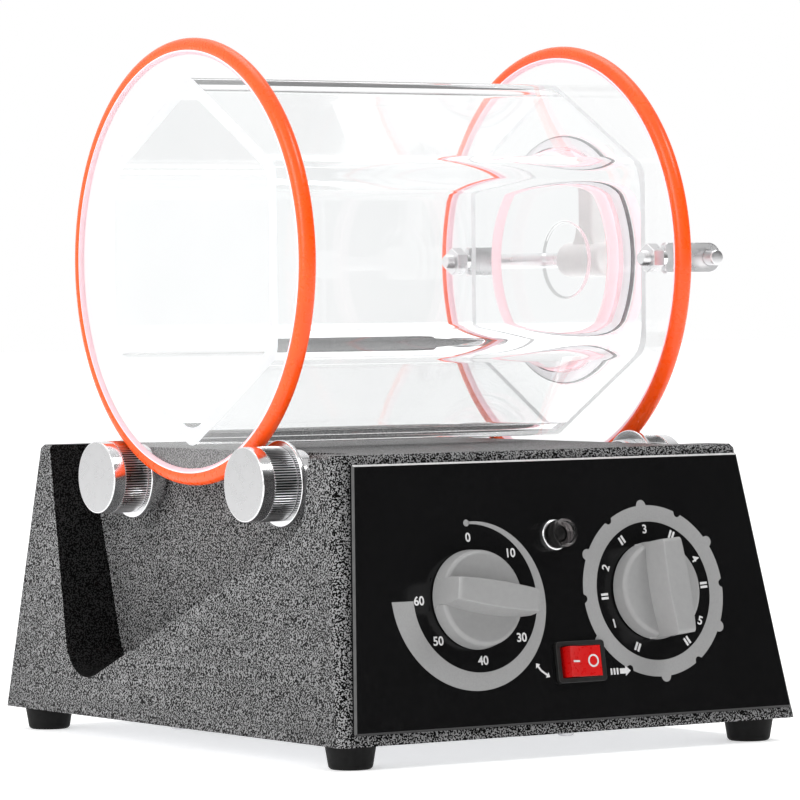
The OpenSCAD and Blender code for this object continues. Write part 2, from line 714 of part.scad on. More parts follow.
module left_flange() {
    framed() color([0.85, 0.92, 0.95, 0.4]) difference() {
        flange_disc(tyre_left_x);
        tyre_ring(tyre_left_x);
    }
}
module right_flange() {
    framed() color([0.85, 0.92, 0.95, 0.4]) difference() {
        flange_disc(tyre_right_x);
        tyre_ring(tyre_right_x);
        rod_along_x(mouth_r, tyre_right_x - flange_t, tyre_right_x + flange_t, 0, drum_z);
        for (y = [-link_y, link_y])
            rod_along_x(rod_r, tyre_right_x - flange_t, tyre_right_x + flange_t, y, drum_z);
    }
}
module left_tyre() { framed() color([1, 0.27, 0.08]) tyre_ring(tyre_left_x); }
module right_tyre() { framed() color([1, 0.27, 0.08]) tyre_ring(tyre_right_x); }

// A plug in the mouth, an outer disc over it and a raised pad under the cam
module lid() {
    disc_x = mouth_x + gasket_t;
    framed() color([0.85, 0.92, 0.95, 0.4]) union() {
        rod_along_x(mouth_r - 1, mouth_x - 10, disc_x, 0, drum_z);
        rod_along_x(lid_r, disc_x, disc_x + lid_t, 0, drum_z);
        rod_along_x(15, disc_x + lid_t, lid_face_x, 0, drum_z);
    }
}
module lid_gasket() {
    framed() color([0.25, 0.25, 0.27]) difference() {
        rod_along_x(lid_r - 0.5, mouth_x + 0.02, mouth_x + gasket_t, 0, drum_z);
        rod_along_x(mouth_r - 1, mouth_x - 1, mouth_x + gasket_t + 1, 0, drum_z);
    }
}

// An eye plate on a threaded stud that passes through the flange
module eye_link(y) {
    difference() {
        union() {
            rotate([90, 0, 0]) translate([0, 0, -y - link_t / 2]) linear_extrude(link_t) {
                translate([mouth_x, drum_z - link_r]) square([rod_reach, 2 * link_r]);
                translate([rod_x, drum_z]) circle(r = link_r);
            }
            rod_along_x(rod_r, barrel_right_x - 8, mouth_x + 1, y, drum_z);
        }
        translate([rod_x, y + link_t, drum_z]) rotate([90, 0, 0])
            cylinder(r = rod_r + run_fit, h = 2 * link_t);
    }
}
module link_front() { framed() color("silver") eye_link(-link_y); }
module link_rear() { framed() color("silver") eye_link(link_y); }
module link_nuts() {
    framed() color("silver") for (y = [-link_y, link_y]) difference() {
        translate([barrel_right_x - 5, y, drum_z]) rotate([0, 90, 0]) cylinder(r = 5.6, h = 5, $fn = 6);
        rod_along_x(rod_r, barrel_right_x - 6, barrel_right_x + 1, y, drum_z);
    }
}

// The cross rod, with a flat head behind the rear link
module clamp_rod() {
    framed() color("silver") translate([rod_x, 0, drum_z]) rotate([-90, 0, 0]) {
        translate([0, 0, rod_low_y]) cylinder(r1 = rod_r - 0.6, r2 = rod_r, h = 0.6);
        translate([0, 0, rod_low_y + 0.6]) cylinder(r = rod_r, h = rod_high_y - rod_low_y - 0.6);
        translate([0, 0, rod_high_y]) cylinder(r = rod_r + 1.5, h = 2.5);
    }
}

// The cam's round is off the rod's axis, towards the lid, and the handle stands up from its middle
module cam_lever() {
    handle_w = 9;
    handle_t = 7;
    framed() color("white") translate([rod_x, hub_y, drum_z]) difference() {
        union() {
            translate([-cam_offset, 0, 0]) rotate([90, 0, 0])
                cylinder(r = hub_r, h = hub_len, center = true);
            translate([-cam_offset - handle_t / 2, -handle_w / 2, 0])
                cube([handle_t, handle_w, lever_len - handle_t / 2]);
            translate([-cam_offset, 0, lever_len - handle_t / 2])
                rotate([90, 0, 0]) cylinder(r = handle_t / 2, h = handle_w, center = true);
        }
        rotate([90, 0, 0]) cylinder(r = rod_r + run_fit, h = hub_len + 2, center = true);
    }
}

housing();
left_end();
right_end();
base_plate();
base_screws();
foot_front_left();
foot_front_right();
foot_rear_left();
foot_rear_right();
foot_screws();
control_panel();
timer_unit();
timer_shaft();
timer_knob();
speed_switch();
speed_shaft();
speed_knob();
lamp_bezel();
lamp_lens();
rocker_body();
rocker();
power_inlet();
inlet_pins();
transformer_core();
transformer_coil();
transformer_screws();
motor_body();
motor_gearbox();
motor_bracket();
motor_screws();
motor_shaft();
motor_pulley();
drive_belt();
drive_pulley();
drive_shaft();
idler_shaft();
drive_wheel_left();
drive_wheel_right();
idler_wheel_left();
idler_wheel_right();
drive_set_screws();
idler_set_screws();
bearing_rear_left();
bearing_rear_right();
bearing_front_left();
bearing_front_right();
drive_collars();
idler_collars();
barrel();
left_flange();
right_flange();
left_tyre();
right_tyre();
lid();
lid_gasket();
link_front();
link_rear();
link_nuts();
clamp_rod();
cam_lever();
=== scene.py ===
# Looks of the rotary drum tumbler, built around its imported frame.
# Metres, +Z up, drum axis along X, controls facing -Y. Lengths written in millimetres carry MM.

import json
import math

import bmesh
import bpy
from mathutils import Matrix, Vector


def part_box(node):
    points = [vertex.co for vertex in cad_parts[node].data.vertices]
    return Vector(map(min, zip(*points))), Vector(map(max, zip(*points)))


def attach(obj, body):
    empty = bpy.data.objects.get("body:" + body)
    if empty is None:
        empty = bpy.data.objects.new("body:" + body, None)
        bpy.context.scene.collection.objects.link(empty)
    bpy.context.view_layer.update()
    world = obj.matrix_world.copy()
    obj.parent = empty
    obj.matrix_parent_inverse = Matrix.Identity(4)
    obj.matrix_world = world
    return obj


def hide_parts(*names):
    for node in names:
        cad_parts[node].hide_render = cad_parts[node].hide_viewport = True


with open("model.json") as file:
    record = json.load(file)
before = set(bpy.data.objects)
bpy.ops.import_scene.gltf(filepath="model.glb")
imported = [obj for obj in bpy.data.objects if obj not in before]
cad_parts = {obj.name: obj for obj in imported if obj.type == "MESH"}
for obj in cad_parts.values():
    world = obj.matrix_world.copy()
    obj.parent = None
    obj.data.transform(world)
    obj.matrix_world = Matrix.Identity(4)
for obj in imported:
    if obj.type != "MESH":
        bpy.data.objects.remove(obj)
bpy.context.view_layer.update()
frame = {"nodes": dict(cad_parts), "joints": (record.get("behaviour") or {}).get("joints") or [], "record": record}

MM = 0.001
FULL_TURN = 2 * math.pi
JOINTS = {joint["name"]: joint for joint in frame["joints"]}
BODY_OF = {node: body for body, nodes in frame["record"]["behaviour"]["bodies"].items()
           for node in nodes}
SLOT_OF = {part["node"]: part["material_slot"] for part in frame["record"]["subparts"]}


# ---- Places ------------------------------------------------------------------

def basis(origin, x_axis, y_axis, z_axis):
    """A place at origin whose local axes are three unit vectors."""
    place = Matrix((x_axis, y_axis, z_axis)).transposed().to_4x4()
    place.translation = origin
    return place


def along_x(x, y, z, facing=1):
    """A place whose local Z points along world X, or against it when facing is -1."""
    if facing > 0:
        return basis(Vector((x, y, z)), (0, 1, 0), (0, 0, 1), (1, 0, 0))
    return basis(Vector((x, y, z)), (0, 0, 1), (0, 1, 0), (-1, 0, 0))


def along_y(x, y, z):
    """A place whose local Z points along world Y."""
    return basis(Vector((x, y, z)), (0, 0, 1), (1, 0, 0), (0, 1, 0))


def upright(x, y, z):
    return Matrix.Translation((x, y, z))


def middle(node):
    low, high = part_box(node)
    return (low + high) / 2


drum_axis = Vector(JOINTS["drum_spin"]["pos_m"])
timer_at = Vector(JOINTS["timer_turn"]["pos_m"])
speed_at = Vector(JOINTS["speed_turn"]["pos_m"])
rocker_at = Vector(JOINTS["power_rock"]["pos_m"])
front_out = Vector(JOINTS["timer_turn"]["axis"]).normalized()
front_up = Vector(JOINTS["power_rock"]["axis"]).normalized()


def on_front(origin, across=0.0, up=0.0, out=0.0, turn=0.0):
    """A place on the sloping front: origin moved across, up the slope and out of it,
    and turned clockwise by turn degrees as seen from the front."""
    place = basis(origin, (1, 0, 0), front_up, front_out)
    return place @ Matrix.Translation((across, up, out)) @ Matrix.Rotation(-math.radians(turn), 4, "Z")


# ---- Mesh helpers ------------------------------------------------------------

def fillet(points, radii, steps=6):
    """Rounds the corners of a closed outline of 2-D points, each with its own radius."""
    rounded = []
    count = len(points)
    for i, radius in enumerate(radii):
        corner = Vector(points[i])
        if radius <= 0:
            rounded.append(corner)
            continue
        before = (Vector(points[i - 1]) - corner).normalized()
        after = (Vector(points[(i + 1) % count]) - corner).normalized()
        half = before.angle(after) / 2
        centre = corner + (before + after).normalized() * radius / math.sin(half)
        first = corner + before * radius / math.tan(half) - centre
        last = corner + after * radius / math.tan(half) - centre
        start = math.atan2(first.y, first.x)
        sweep = (math.atan2(last.y, last.x) - start + math.pi) % FULL_TURN - math.pi
        for step in range(steps + 1):
            angle = start + sweep * step / steps
            rounded.append(centre + Vector((math.cos(angle), math.sin(angle))) * radius)
    return rounded


def circle(radius, steps, x=0.0, y=0.0):
    points = []
    for step in range(steps):
        angle = FULL_TURN * step / steps
        points.append(Vector((x + radius * math.cos(angle), y + radius * math.sin(angle))))
    return points


def bridge(bm, lower, upper):
    """Joins two rings of vertices; a ring may be one point."""
    count = max(len(lower), len(upper))
    if count == 1:
        return
    for k in range(count):
        corners = []
        for ring, index in ((lower, k), (lower, k + 1), (upper, k + 1), (upper, k)):
            vertex = ring[index % len(ring)]
            if vertex not in corners:
                corners.append(vertex)
        bm.faces.new(corners)


def lathe(bm, outline, place, steps=96, wave=None, closed=False):
    """Spins an outline of (radius, height) pairs round local Z.
    wave(point, step) is taken off the radius of that outline point at that step."""
    rings = []
    for index, (radius, height) in enumerate(outline):
        if radius < 1e-7:
            rings.append([bm.verts.new(place @ Vector((0, 0, height)))])
            continue
        ring = []
        for step in range(steps):
            angle = FULL_TURN * step / steps
            reach = radius - (wave(index, step) if wave else 0.0)
            point = Vector((reach * math.cos(angle), reach * math.sin(angle), height))
            ring.append(bm.verts.new(place @ point))
        rings.append(ring)
    for lower, upper in zip(rings, rings[1:]):
        bridge(bm, lower, upper)
    if closed:
        bridge(bm, rings[-1], rings[0])


def loft(bm, sections):
    """Skins closed sections of equal point count and caps both ends."""
    rings = [[bm.verts.new(point) for point in section] for section in sections]
    for lower, upper in zip(rings, rings[1:]):
        bridge(bm, lower, upper)
    bm.faces.new(rings[0])
    bm.faces.new(rings[-1])


def round_edges(bm, edges, size, steps=2):
    bmesh.ops.bevel(bm, geom=list(edges), offset=size, segments=steps, profile=0.5,
                    affect="EDGES", clamp_overlap=True)


def prism(bm, outline, low, high, place, edge=0.0, steps=2, low_edge=None):
    """Extrudes a closed outline along local Z and rounds its upper and lower rims."""
    low_ring = [bm.verts.new(place @ Vector((p[0], p[1], low))) for p in outline]
    high_ring = [bm.verts.new(place @ Vector((p[0], p[1], high))) for p in outline]
    bridge(bm, low_ring, high_ring)
    low_cap = bm.faces.new(low_ring)
    high_cap = bm.faces.new(high_ring)
    bmesh.ops.recalc_face_normals(bm, faces=bm.faces)
    if edge:
        round_edges(bm, high_cap.edges, edge, steps)
    if low_edge is None:
        low_edge = edge
    if low_edge:
        round_edges(bm, low_cap.edges, low_edge, steps)


def rectangle(width, height):
    x = width / 2
    y = height / 2
    return [(-x, -y), (x, -y), (x, y), (-x, y)]


def as_object(name, bm, sharp=32):
    """Turns a bmesh into a smooth-shaded object with crisp edges above sharp degrees."""
    bmesh.ops.recalc_face_normals(bm, faces=bm.faces)
    mesh = bpy.data.meshes.new(name)
    bm.to_mesh(mesh)
    bm.free()
    return shade(link(name, mesh), sharp)


def link(name, mesh):
    obj = bpy.data.objects.new(name, mesh)
    bpy.context.scene.collection.objects.link(obj)
    return obj


def shade(obj, sharp=32):
    for polygon in obj.data.polygons:
        polygon.use_smooth = True
    obj.data.set_sharp_from_angle(angle=math.radians(sharp))
    return obj


def bake_modifiers(obj, sharp=32):
    """Replaces an object's mesh by the result of its modifiers."""
    graph = bpy.context.evaluated_depsgraph_get()
    mesh = bpy.data.meshes.new_from_object(obj.evaluated_get(graph))
    obj.modifiers.clear()
    obj.data = mesh
    return shade(obj, sharp)


def combine(obj, others, operation="DIFFERENCE", sharp=32):
    """Cuts the others out of obj, or joins them to it, and removes them."""
    for other in others:
        boolean = obj.modifiers.new("combine", "BOOLEAN")
        boolean.operation = operation
        boolean.solver = "EXACT"
        boolean.object = other
    bake_modifiers(obj, sharp)
    for other in others:
        bpy.data.objects.remove(other)
    return obj


def cutter(outline, low, high, place):
    bm = bmesh.new()
    prism(bm, outline, low, high, place)
    return as_object("cutter", bm)


def soften(obj, size, steps=2, angle=40):
    """Rounds the edges of a finished object that are sharper than angle."""
    bm = bmesh.new()
    bm.from_mesh(obj.data)
    bmesh.ops.remove_doubles(bm, verts=bm.verts, dist=2e-6)
    bmesh.ops.dissolve_limit(bm, angle_limit=math.radians(0.4), verts=bm.verts, edges=bm.edges)
    sharp = [e for e in bm.edges if len(e.link_faces) == 2 and e.calc_face_angle(0) > math.radians(angle)]
    round_edges(bm, sharp, size, steps)
    bmesh.ops.recalc_face_normals(bm, faces=bm.faces)
    bm.to_mesh(obj.data)
    bm.free()
    return shade(obj)


def dress(obj, body, slot, material=None, stands_for=()):
    """Gives a piece its finish and its body, and hides the CAD nodes it stands for."""
    obj.data.materials.clear()
    obj.data.materials.append(material or finishes[slot])
    weighted = obj.modifiers.new("weighted", "WEIGHTED_NORMAL")
    weighted.keep_sharp = True
    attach(obj, body)
    if stands_for:
        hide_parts(*stands_for)
    return obj


def replace_node(node, obj, material=None):
    """obj takes the place of one CAD node."""
    obj.name = node + "_look"
    return dress(obj, BODY_OF[node], SLOT_OF[node], material, [node])


def refine(node, edge, steps=2, angle=40, material=None):
    """Stands for a CAD node with a copy whose sharp edges are rounded."""
    obj = link(node + "_look", frame["nodes"][node].data.copy())
    soften(obj, edge, steps, angle)
    return replace_node(node, obj, material)


# ---- Materials ---------------------------------------------------------------

class Shader:
    """A Principled material with a few short calls for its texture nodes."""

    def __init__(self, name, **sockets):
        self.material = bpy.data.materials.new(name)
        self.material.use_nodes = True
        self.tree = self.material.node_tree
        self.surface = self.tree.nodes["Principled BSDF"]
        self.where = self.add("ShaderNodeTexCoord").outputs["Object"]
        for key, value in sockets.items():
            self.surface.inputs[key.replace("_", " ")].default_value = value

    def add(self, kind, **settings):
        node = self.tree.nodes.new(kind)
        for key, value in settings.items():
            setattr(node, key, value)
        return node

    def wire(self, start, end):
        self.tree.links.new(start, end)

    def noise(self, size, detail=2.0, rough=0.5, distortion=0.0, stretch=None):
        """Noise whose blotches are about size metres across; stretch scales it per axis."""
        node = self.add("ShaderNodeTexNoise")
        node.inputs["Scale"].default_value = 1 / size
        node.inputs["Detail"].default_value = detail
        node.inputs["Roughness"].default_value = rough
        node.inputs["Distortion"].default_value = distortion
        where = self.where
        if stretch:
            mapping = self.add("ShaderNodeMapping")
            mapping.inputs["Scale"].default_value = stretch
            self.wire(self.where, mapping.inputs["Vector"])
            where = mapping.outputs["Vector"]
        self.wire(where, node.inputs["Vector"])
        return node.outputs["Fac"]

    def ramp(self, value, *stops):
        """Maps a value to colours; each stop is (position, colour)."""
        node = self.add("ShaderNodeValToRGB")
        elements = node.color_ramp.elements
        while len(elements) < len(stops):
            elements.new(0.5)
        for element, (position, colour) in zip(elements, stops):
            element.position = position
            element.color = (*colour, 1.0)
        self.wire(value, node.inputs["Fac"])
        return node.outputs["Color"]

    def spread(self, value, low, high):
        """Maps the usual range of a noise to low..high."""
        node = self.add("ShaderNodeMapRange")
        node.inputs["From Min"].default_value = 0.3
        node.inputs["From Max"].default_value = 0.7
        node.inputs["To Min"].default_value = low
        node.inputs["To Max"].default_value = high
        self.wire(value, node.inputs["Value"])
        return node.outputs["Result"]

    def mix(self, factor, first, second, blend="MIX"):
        node = self.add("ShaderNodeMix", data_type="RGBA", blend_type=blend)
        for socket, value in ((node.inputs[0], factor), (node.inputs[6], first), (node.inputs[7], second)):
            if isinstance(value, (int, float)):
                socket.default_value = value
            elif isinstance(value, tuple):
                socket.default_value = (*value, 1.0)
            else:
                self.wire(value, socket)
        return node.outputs[2]

    def colour(self, output):
        self.wire(output, self.surface.inputs["Base Color"])

    def tint(self, value, low, high):
        """Blends the base colour from low to high over the usual range of a noise."""
        self.colour(self.ramp(value, (0.3, low), (0.7, high)))

    def roughness(self, output):
        self.wire(output, self.surface.inputs["Roughness"])

    def bump(self, height, strength, depth):
        node = self.add("ShaderNodeBump")
        node.inputs["Strength"].default_value = strength
        node.inputs["Distance"].default_value = depth
        self.wire(height, node.inputs["Height"])
        self.wire(node.outputs["Normal"], self.surface.inputs["Normal"])


def blend(colour, share):
    return tuple(channel * share for channel in colour)


def plain_finish(name, colour, roughness, grain, bump=0.1, depth=0.02 * MM, spread=0.12, rough_spread=0.06,
                 **sockets):
    """A moulded, cast or rolled finish: blotchy tint, uneven gloss and a fine grain."""
    shader = Shader(name, **sockets)
    shader.tint(shader.noise(grain * 9, 3), blend(colour, 1 - spread), blend(colour, 1 + spread))
    gloss = shader.noise(grain * 4, 3)
    shader.roughness(shader.spread(gloss, roughness - rough_spread, roughness + rough_spread))
    shader.bump(shader.noise(grain, 2), bump, depth)
    return shader.material


def brushed_finish(name, colour, roughness, stretch, **sockets):
    """Metal with fine tool lines across the stretched direction."""
    shader = Shader(name, Metallic=1.0, **sockets)
    lines = shader.noise(0.35 * MM, 3, stretch=stretch)
    cloud = shader.noise(6 * MM, 3)
    shader.tint(cloud, blend(colour, 0.93), colour)
    shader.roughness(shader.spread(lines, roughness * 0.75, roughness * 1.25))
    shader.bump(lines, 0.08, 0.01 * MM)
    return shader.material


def hammertone(name, silver, glow=0.0):
    """Black paint veined with silver of the given brightness, in worm-like spots half a millimetre wide; glow
    makes the silver veins shine by themselves, a painted highlight.
    """
    shader = Shader(name, Specular_IOR_Level=0.06, Emission_Strength=glow)
    worms = shader.noise(0.58 * MM, 0.0, 0.4, 0.4)
    cloud = shader.noise(28 * MM, 2)
    veins = shader.ramp(worms, (0.505, (0.001, 0.001, 0.001)), (0.55, (silver, silver, silver * 1.01)))
    shade_of = shader.ramp(cloud, (0.3, (0.85, 0.85, 0.85)), (0.7, (1.0, 1.0, 1.0)))
    shader.colour(shader.mix(1.0, veins, shade_of, "MULTIPLY"))
    if glow:
        shader.wire(veins, shader.surface.inputs["Emission Color"])
    shader.roughness(shader.spread(worms, 0.34, 0.46))
    shader.bump(worms, 0.25, 0.06 * MM)
    return shader.material


def acrylic(name, bend, painted_glow):
    """Clear cast acrylic with waviness and a faint painted glow; bend is its refractive index."""
    shader = Shader(name, Transmission_Weight=1.0, IOR=bend, Emission_Color=(0.98, 0.99, 1.0, 1.0),
                    Emission_Strength=painted_glow)
    cloud = shader.noise(45 * MM, 2)
    shader.tint(cloud, (0.972, 0.98, 0.982), (0.99, 0.994, 0.995))
    shader.roughness(shader.spread(shader.noise(9 * MM, 4), 0.0, 0.03))
    shader.bump(shader.noise(30 * MM, 1), 0.02, 0.3 * MM)
    return shader.material


def frosted(name, low, high, tint=(1.0, 1.0, 1.0), glow=0.0, through=0.35):
    """Sawn, turned or glued acrylic: pale and matt, with streaks; glow stands for light caught inside."""
    shader = Shader(name, Transmission_Weight=through, IOR=1.3, Emission_Color=(*tint, 1.0),
                    Emission_Strength=glow)
    cloud = shader.noise(5 * MM, 4)
    shader.tint(cloud, tuple(low * c for c in tint), tuple(high * c for c in tint))
    shader.roughness(shader.spread(shader.noise(1.5 * MM, 3), 0.45, 0.65))
    shader.bump(shader.noise(0.5 * MM, 2), 0.1, 0.02 * MM)
    return shader.material


def tyre_rubber():
    """Glossy orange polyurethane, a little lighter where it is thin, with a faint painted orange glow."""
    shader = Shader("orange_polyurethane", Subsurface_Weight=0.2, Subsurface_Scale=0.003, IOR=1.45,
                    Emission_Color=(1.0, 0.12, 0.012, 1.0), Emission_Strength=0.12)
    shader.surface.inputs["Subsurface Radius"].default_value = (1.0, 0.35, 0.1)
    cloud = shader.noise(14 * MM, 3)
    shader.tint(cloud, (0.96, 0.078, 0.004), (1.0, 0.092, 0.006))
    shader.roughness(shader.spread(shader.noise(3 * MM, 3), 0.24, 0.34))
    shader.bump(shader.noise(1.2 * MM, 1), 0.03, 0.02 * MM)
    return shader.material


def plating(name, tint, roughness, lines):
    """Bright plating over a turned surface, with faint tool lines and soft clouding."""
    shader = Shader(name, Metallic=1.0)
    cloud = shader.noise(5 * MM, 3)
    turned = shader.noise(0.12 * MM, 2, stretch=lines)
    shader.tint(cloud, blend((tint, tint, tint * 1.01), 0.95), (tint, tint, tint * 1.01))
    shader.roughness(shader.spread(cloud, roughness * 0.8, roughness * 1.3))
    shader.bump(turned, 0.04, 0.01 * MM)
    return shader.material


def laminations():
    """Stacked steel sheets, seen as fine dark and light lines across X."""
    shader = Shader("laminations", Metallic=0.7)
    lines = shader.noise(0.5 * MM, 1, stretch=(0.02, 1.0, 0.02))
    shader.colour(shader.ramp(lines, (0.4, (0.05, 0.05, 0.055)), (0.6, (0.22, 0.22, 0.24))))
    shader.roughness(shader.spread(lines, 0.35, 0.6))
    shader.bump(lines, 0.4, 0.1 * MM)
    return shader.material


def lens_plastic():
    """Clear, slightly smoky lens."""
    shader = Shader("clear_lens", Transmission_Weight=1.0, IOR=1.49)
    cloud = shader.noise(2 * MM, 2)
    shader.tint(cloud, (0.34, 0.32, 0.32), (0.42, 0.4, 0.4))
    shader.roughness(shader.spread(cloud, 0.01, 0.05))
    return shader.material


def gloss_black():
    """Deep gloss black with a trace of orange peel and dust."""
    shader = Shader("gloss_black", IOR=1.45)
    cloud = shader.noise(30 * MM, 3)
    shader.tint(cloud, (0.0035, 0.0035, 0.0037), (0.0045, 0.0045, 0.0048))
    shader.roughness(shader.spread(shader.noise(2 * MM, 4), 0.14, 0.24))
    shader.bump(shader.noise(1.6 * MM, 1), 0.03, 0.02 * MM)
    return shader.material


def ink(name, shade_level):
    """Screen-printed ink: slightly uneven cover and a matt film."""
    shader = Shader(name)
    cover = shader.noise(0.6 * MM, 3)
    shader.tint(cover, blend((shade_level,) * 3, 0.92), blend((shade_level,) * 3, 1.04))
    shader.roughness(shader.spread(cover, 0.42, 0.55))
    shader.bump(cover, 0.1, 0.01 * MM)
    return shader.material


ACROSS = (0.03, 1.0, 1.0)    # tool lines that run along X
finishes = {
    "hammertone_paint": hammertone("hammertone", 0.3),
    "zinc_steel": plain_finish("zinc_plate", (0.6, 0.61, 0.63), 0.34, 0.7 * MM, spread=0.1, Metallic=1.0),
    "screw_steel": plain_finish("screw_plate", (0.55, 0.55, 0.57), 0.3, 0.4 * MM, spread=0.1, Metallic=1.0),
    "foot_rubber": plain_finish("foot_rubber", (0.005, 0.005, 0.005), 0.6, 0.4 * MM, 0.3, spread=0.3,
                                Specular_IOR_Level=0.15),
    "panel_black": gloss_black(),
    "control_plastic": plain_finish("phenolic", (0.5, 0.42, 0.3), 0.45, 0.5 * MM, spread=0.15),
    "shaft_steel": brushed_finish("ground_steel", (0.66, 0.66, 0.68), 0.22, (1.0, 0.05, 0.05)),
    "knob_grey": plain_finish("knob_plastic", (0.31, 0.31, 0.31), 0.42, 0.25 * MM, 0.12, spread=0.03,
                              Specular_IOR_Level=0.5),
    "chrome": plating("chrome", 0.84, 0.17, ACROSS),
    "lamp_clear": lens_plastic(),
    "rocker_red": plain_finish("rocker_red", (0.62, 0.004, 0.004), 0.3, 0.5 * MM, 0.05, spread=0.06,
                               Coat_Weight=0.25, Coat_Roughness=0.1),
    "black_plastic": plain_finish("black_plastic", (0.011, 0.011, 0.011), 0.38, 0.35 * MM, 0.2, spread=0.2),
    "inlet_brass": plain_finish("inlet_brass", (0.78, 0.62, 0.34), 0.25, 0.4 * MM, spread=0.08, Metallic=1.0),
    "core_steel": laminations(),
    "coil_tape": plain_finish("coil_tape", (0.62, 0.24, 0.05), 0.4, 0.8 * MM, 0.4, 0.1 * MM, spread=0.2),
    "motor_paint": plain_finish("motor_enamel", (0.2, 0.21, 0.22), 0.35, 0.6 * MM, 0.2, spread=0.1),
    "pulley_metal": brushed_finish("turned_aluminium", (0.72, 0.73, 0.75), 0.26, (1.0, 0.05, 0.05)),
    "belt_rubber": plain_finish("belt_rubber", (0.015, 0.015, 0.015), 0.6, 0.5 * MM, 0.4, spread=0.3),
    "bearing_bronze": plain_finish("oiled_bronze", (0.52, 0.34, 0.16), 0.36, 0.3 * MM, 0.3, spread=0.15,
                                   Metallic=1.0),
    "clear_acrylic": acrylic("acrylic", 1.49, 0.02),
    "tyre_orange": tyre_rubber(),
    "gasket_grey": plain_finish("gasket_rubber", (0.09, 0.09, 0.1), 0.5, 0.5 * MM, 0.3, spread=0.15),
    # the lever's faint white glow is painted light, which brightens it behind the drum's glass
    "lever_white": plain_finish("lever_white", (0.8, 0.8, 0.79), 0.32, 0.4 * MM, 0.06, spread=0.03,
                                Emission_Color=(1.0, 1.0, 0.98, 1.0), Emission_Strength=0.16),
}
cap_plating = plating("satin_cap", 0.55, 0.28, (1.0, 1.0, 1.0))
# painted highlight and painted shade for the panel's chamfers, chosen by the way each chamfer faces
top_chamfer_painted_highlight = plain_finish("top_chamfer_highlight_paint", (0.6, 0.6, 0.6), 0.3, 0.5 * MM)
left_chamfer_painted_shade = plain_finish("left_chamfer_painted_shade", (0.08, 0.08, 0.08), 0.4, 0.5 * MM)
# turned faces: frosted, with a painted pink glow for the tyre's colour caught in them
turned_acrylic_painted_glow = frosted("turned_acrylic_painted_glow", 0.95, 1.0, (1.0, 0.76, 0.8), 0.42)
polished_side = acrylic("polished_side", 1.02, 0.0)
# the barrel's glued ends: frosted, with a painted glow
glued_acrylic_painted_glow = frosted("glued_acrylic_painted_glow", 0.9, 1.0, (0.97, 0.98, 0.99), 0.34)
# the tyre's groove: frosted, with a painted pink glow for the tyre's colour seen in it
blushed_acrylic_painted_tyre_glow = frosted("blushed_acrylic_painted_tyre_glow", 0.95, 1.0, (1.0, 0.66, 0.72), 0.4, 0.0)
# the seal's flat faces: pale, with a painted glow
seal_face_painted_glow = frosted("seal_face_painted_glow", 0.8, 0.9, (0.98, 0.98, 1.0), 0.3)
# painted shade: the hammertone with almost no silver, for the pocket walls that lie in shadow
pocket_painted_shade = hammertone("hammertone_painted_shade", 0.03)
# painted highlight: the hammertone with bright, glowing silver veins, for the fold that catches the light
fold_painted_highlight = hammertone("hammertone_painted_highlight", 0.95, 0.9)
satin_chrome = plating("satin_chrome", 0.8, 0.3, ACROSS)
knurl_plating = plating("knurl_plating", 0.85, 0.3, ACROSS)
knurl_shadow = plating("knurl_shadow", 0.02, 0.5, ACROSS)
ring_ink = ink("grey_ink", 0.32)
mark_ink = ink("white_ink", 0.7)


# ---- Base --------------------------------------------------------------------

def build_housing():
    """The welded shell as one skin with softly rounded folds."""
    shells = sorted(node for node, slot in SLOT_OF.items() if slot == "hammertone_paint")
    copies = [link(node, frame["nodes"][node].data.copy()) for node in shells]
    shell = combine(copies[0], copies[1:], "UNION")
    soften(shell, 0.5 * MM, 3)
    shell.name = "housing_look"
    dress(shell, "base", "hammertone_paint", None, shells)
    # the deep side of each pocket gets painted shade, and the fold beside it a painted highlight
    floor_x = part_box("left_end")[1].x - 3.2 * MM
    second_finish(shell, pocket_painted_shade, lambda face, normal: normal.y < 0.3 and abs(normal.x) < 0.1
                  and -100 * MM < face.x < floor_x - MM and 14 * MM < face.z < 108 * MM and face.y > 0)
    second_finish(shell, fold_painted_highlight, lambda face, normal: abs(face.x - floor_x) < 0.7 * MM
                  and face.y > 80 * MM and 0.15 < abs(normal.x) < 0.97)


def lamp_spot():
    """Where the lamp's axis meets the front, across and up from the timer's axis."""
    inverse = on_front(timer_at).inverted()
    points = [inverse @ vertex.co for vertex in frame["nodes"]["lamp_lens"].data.vertices]
    across = [point.x for point in points]
    up = [point.y for point in points]
    return Vector(((min(across) + max(across)) / 2, (min(up) + max(up)) / 2))


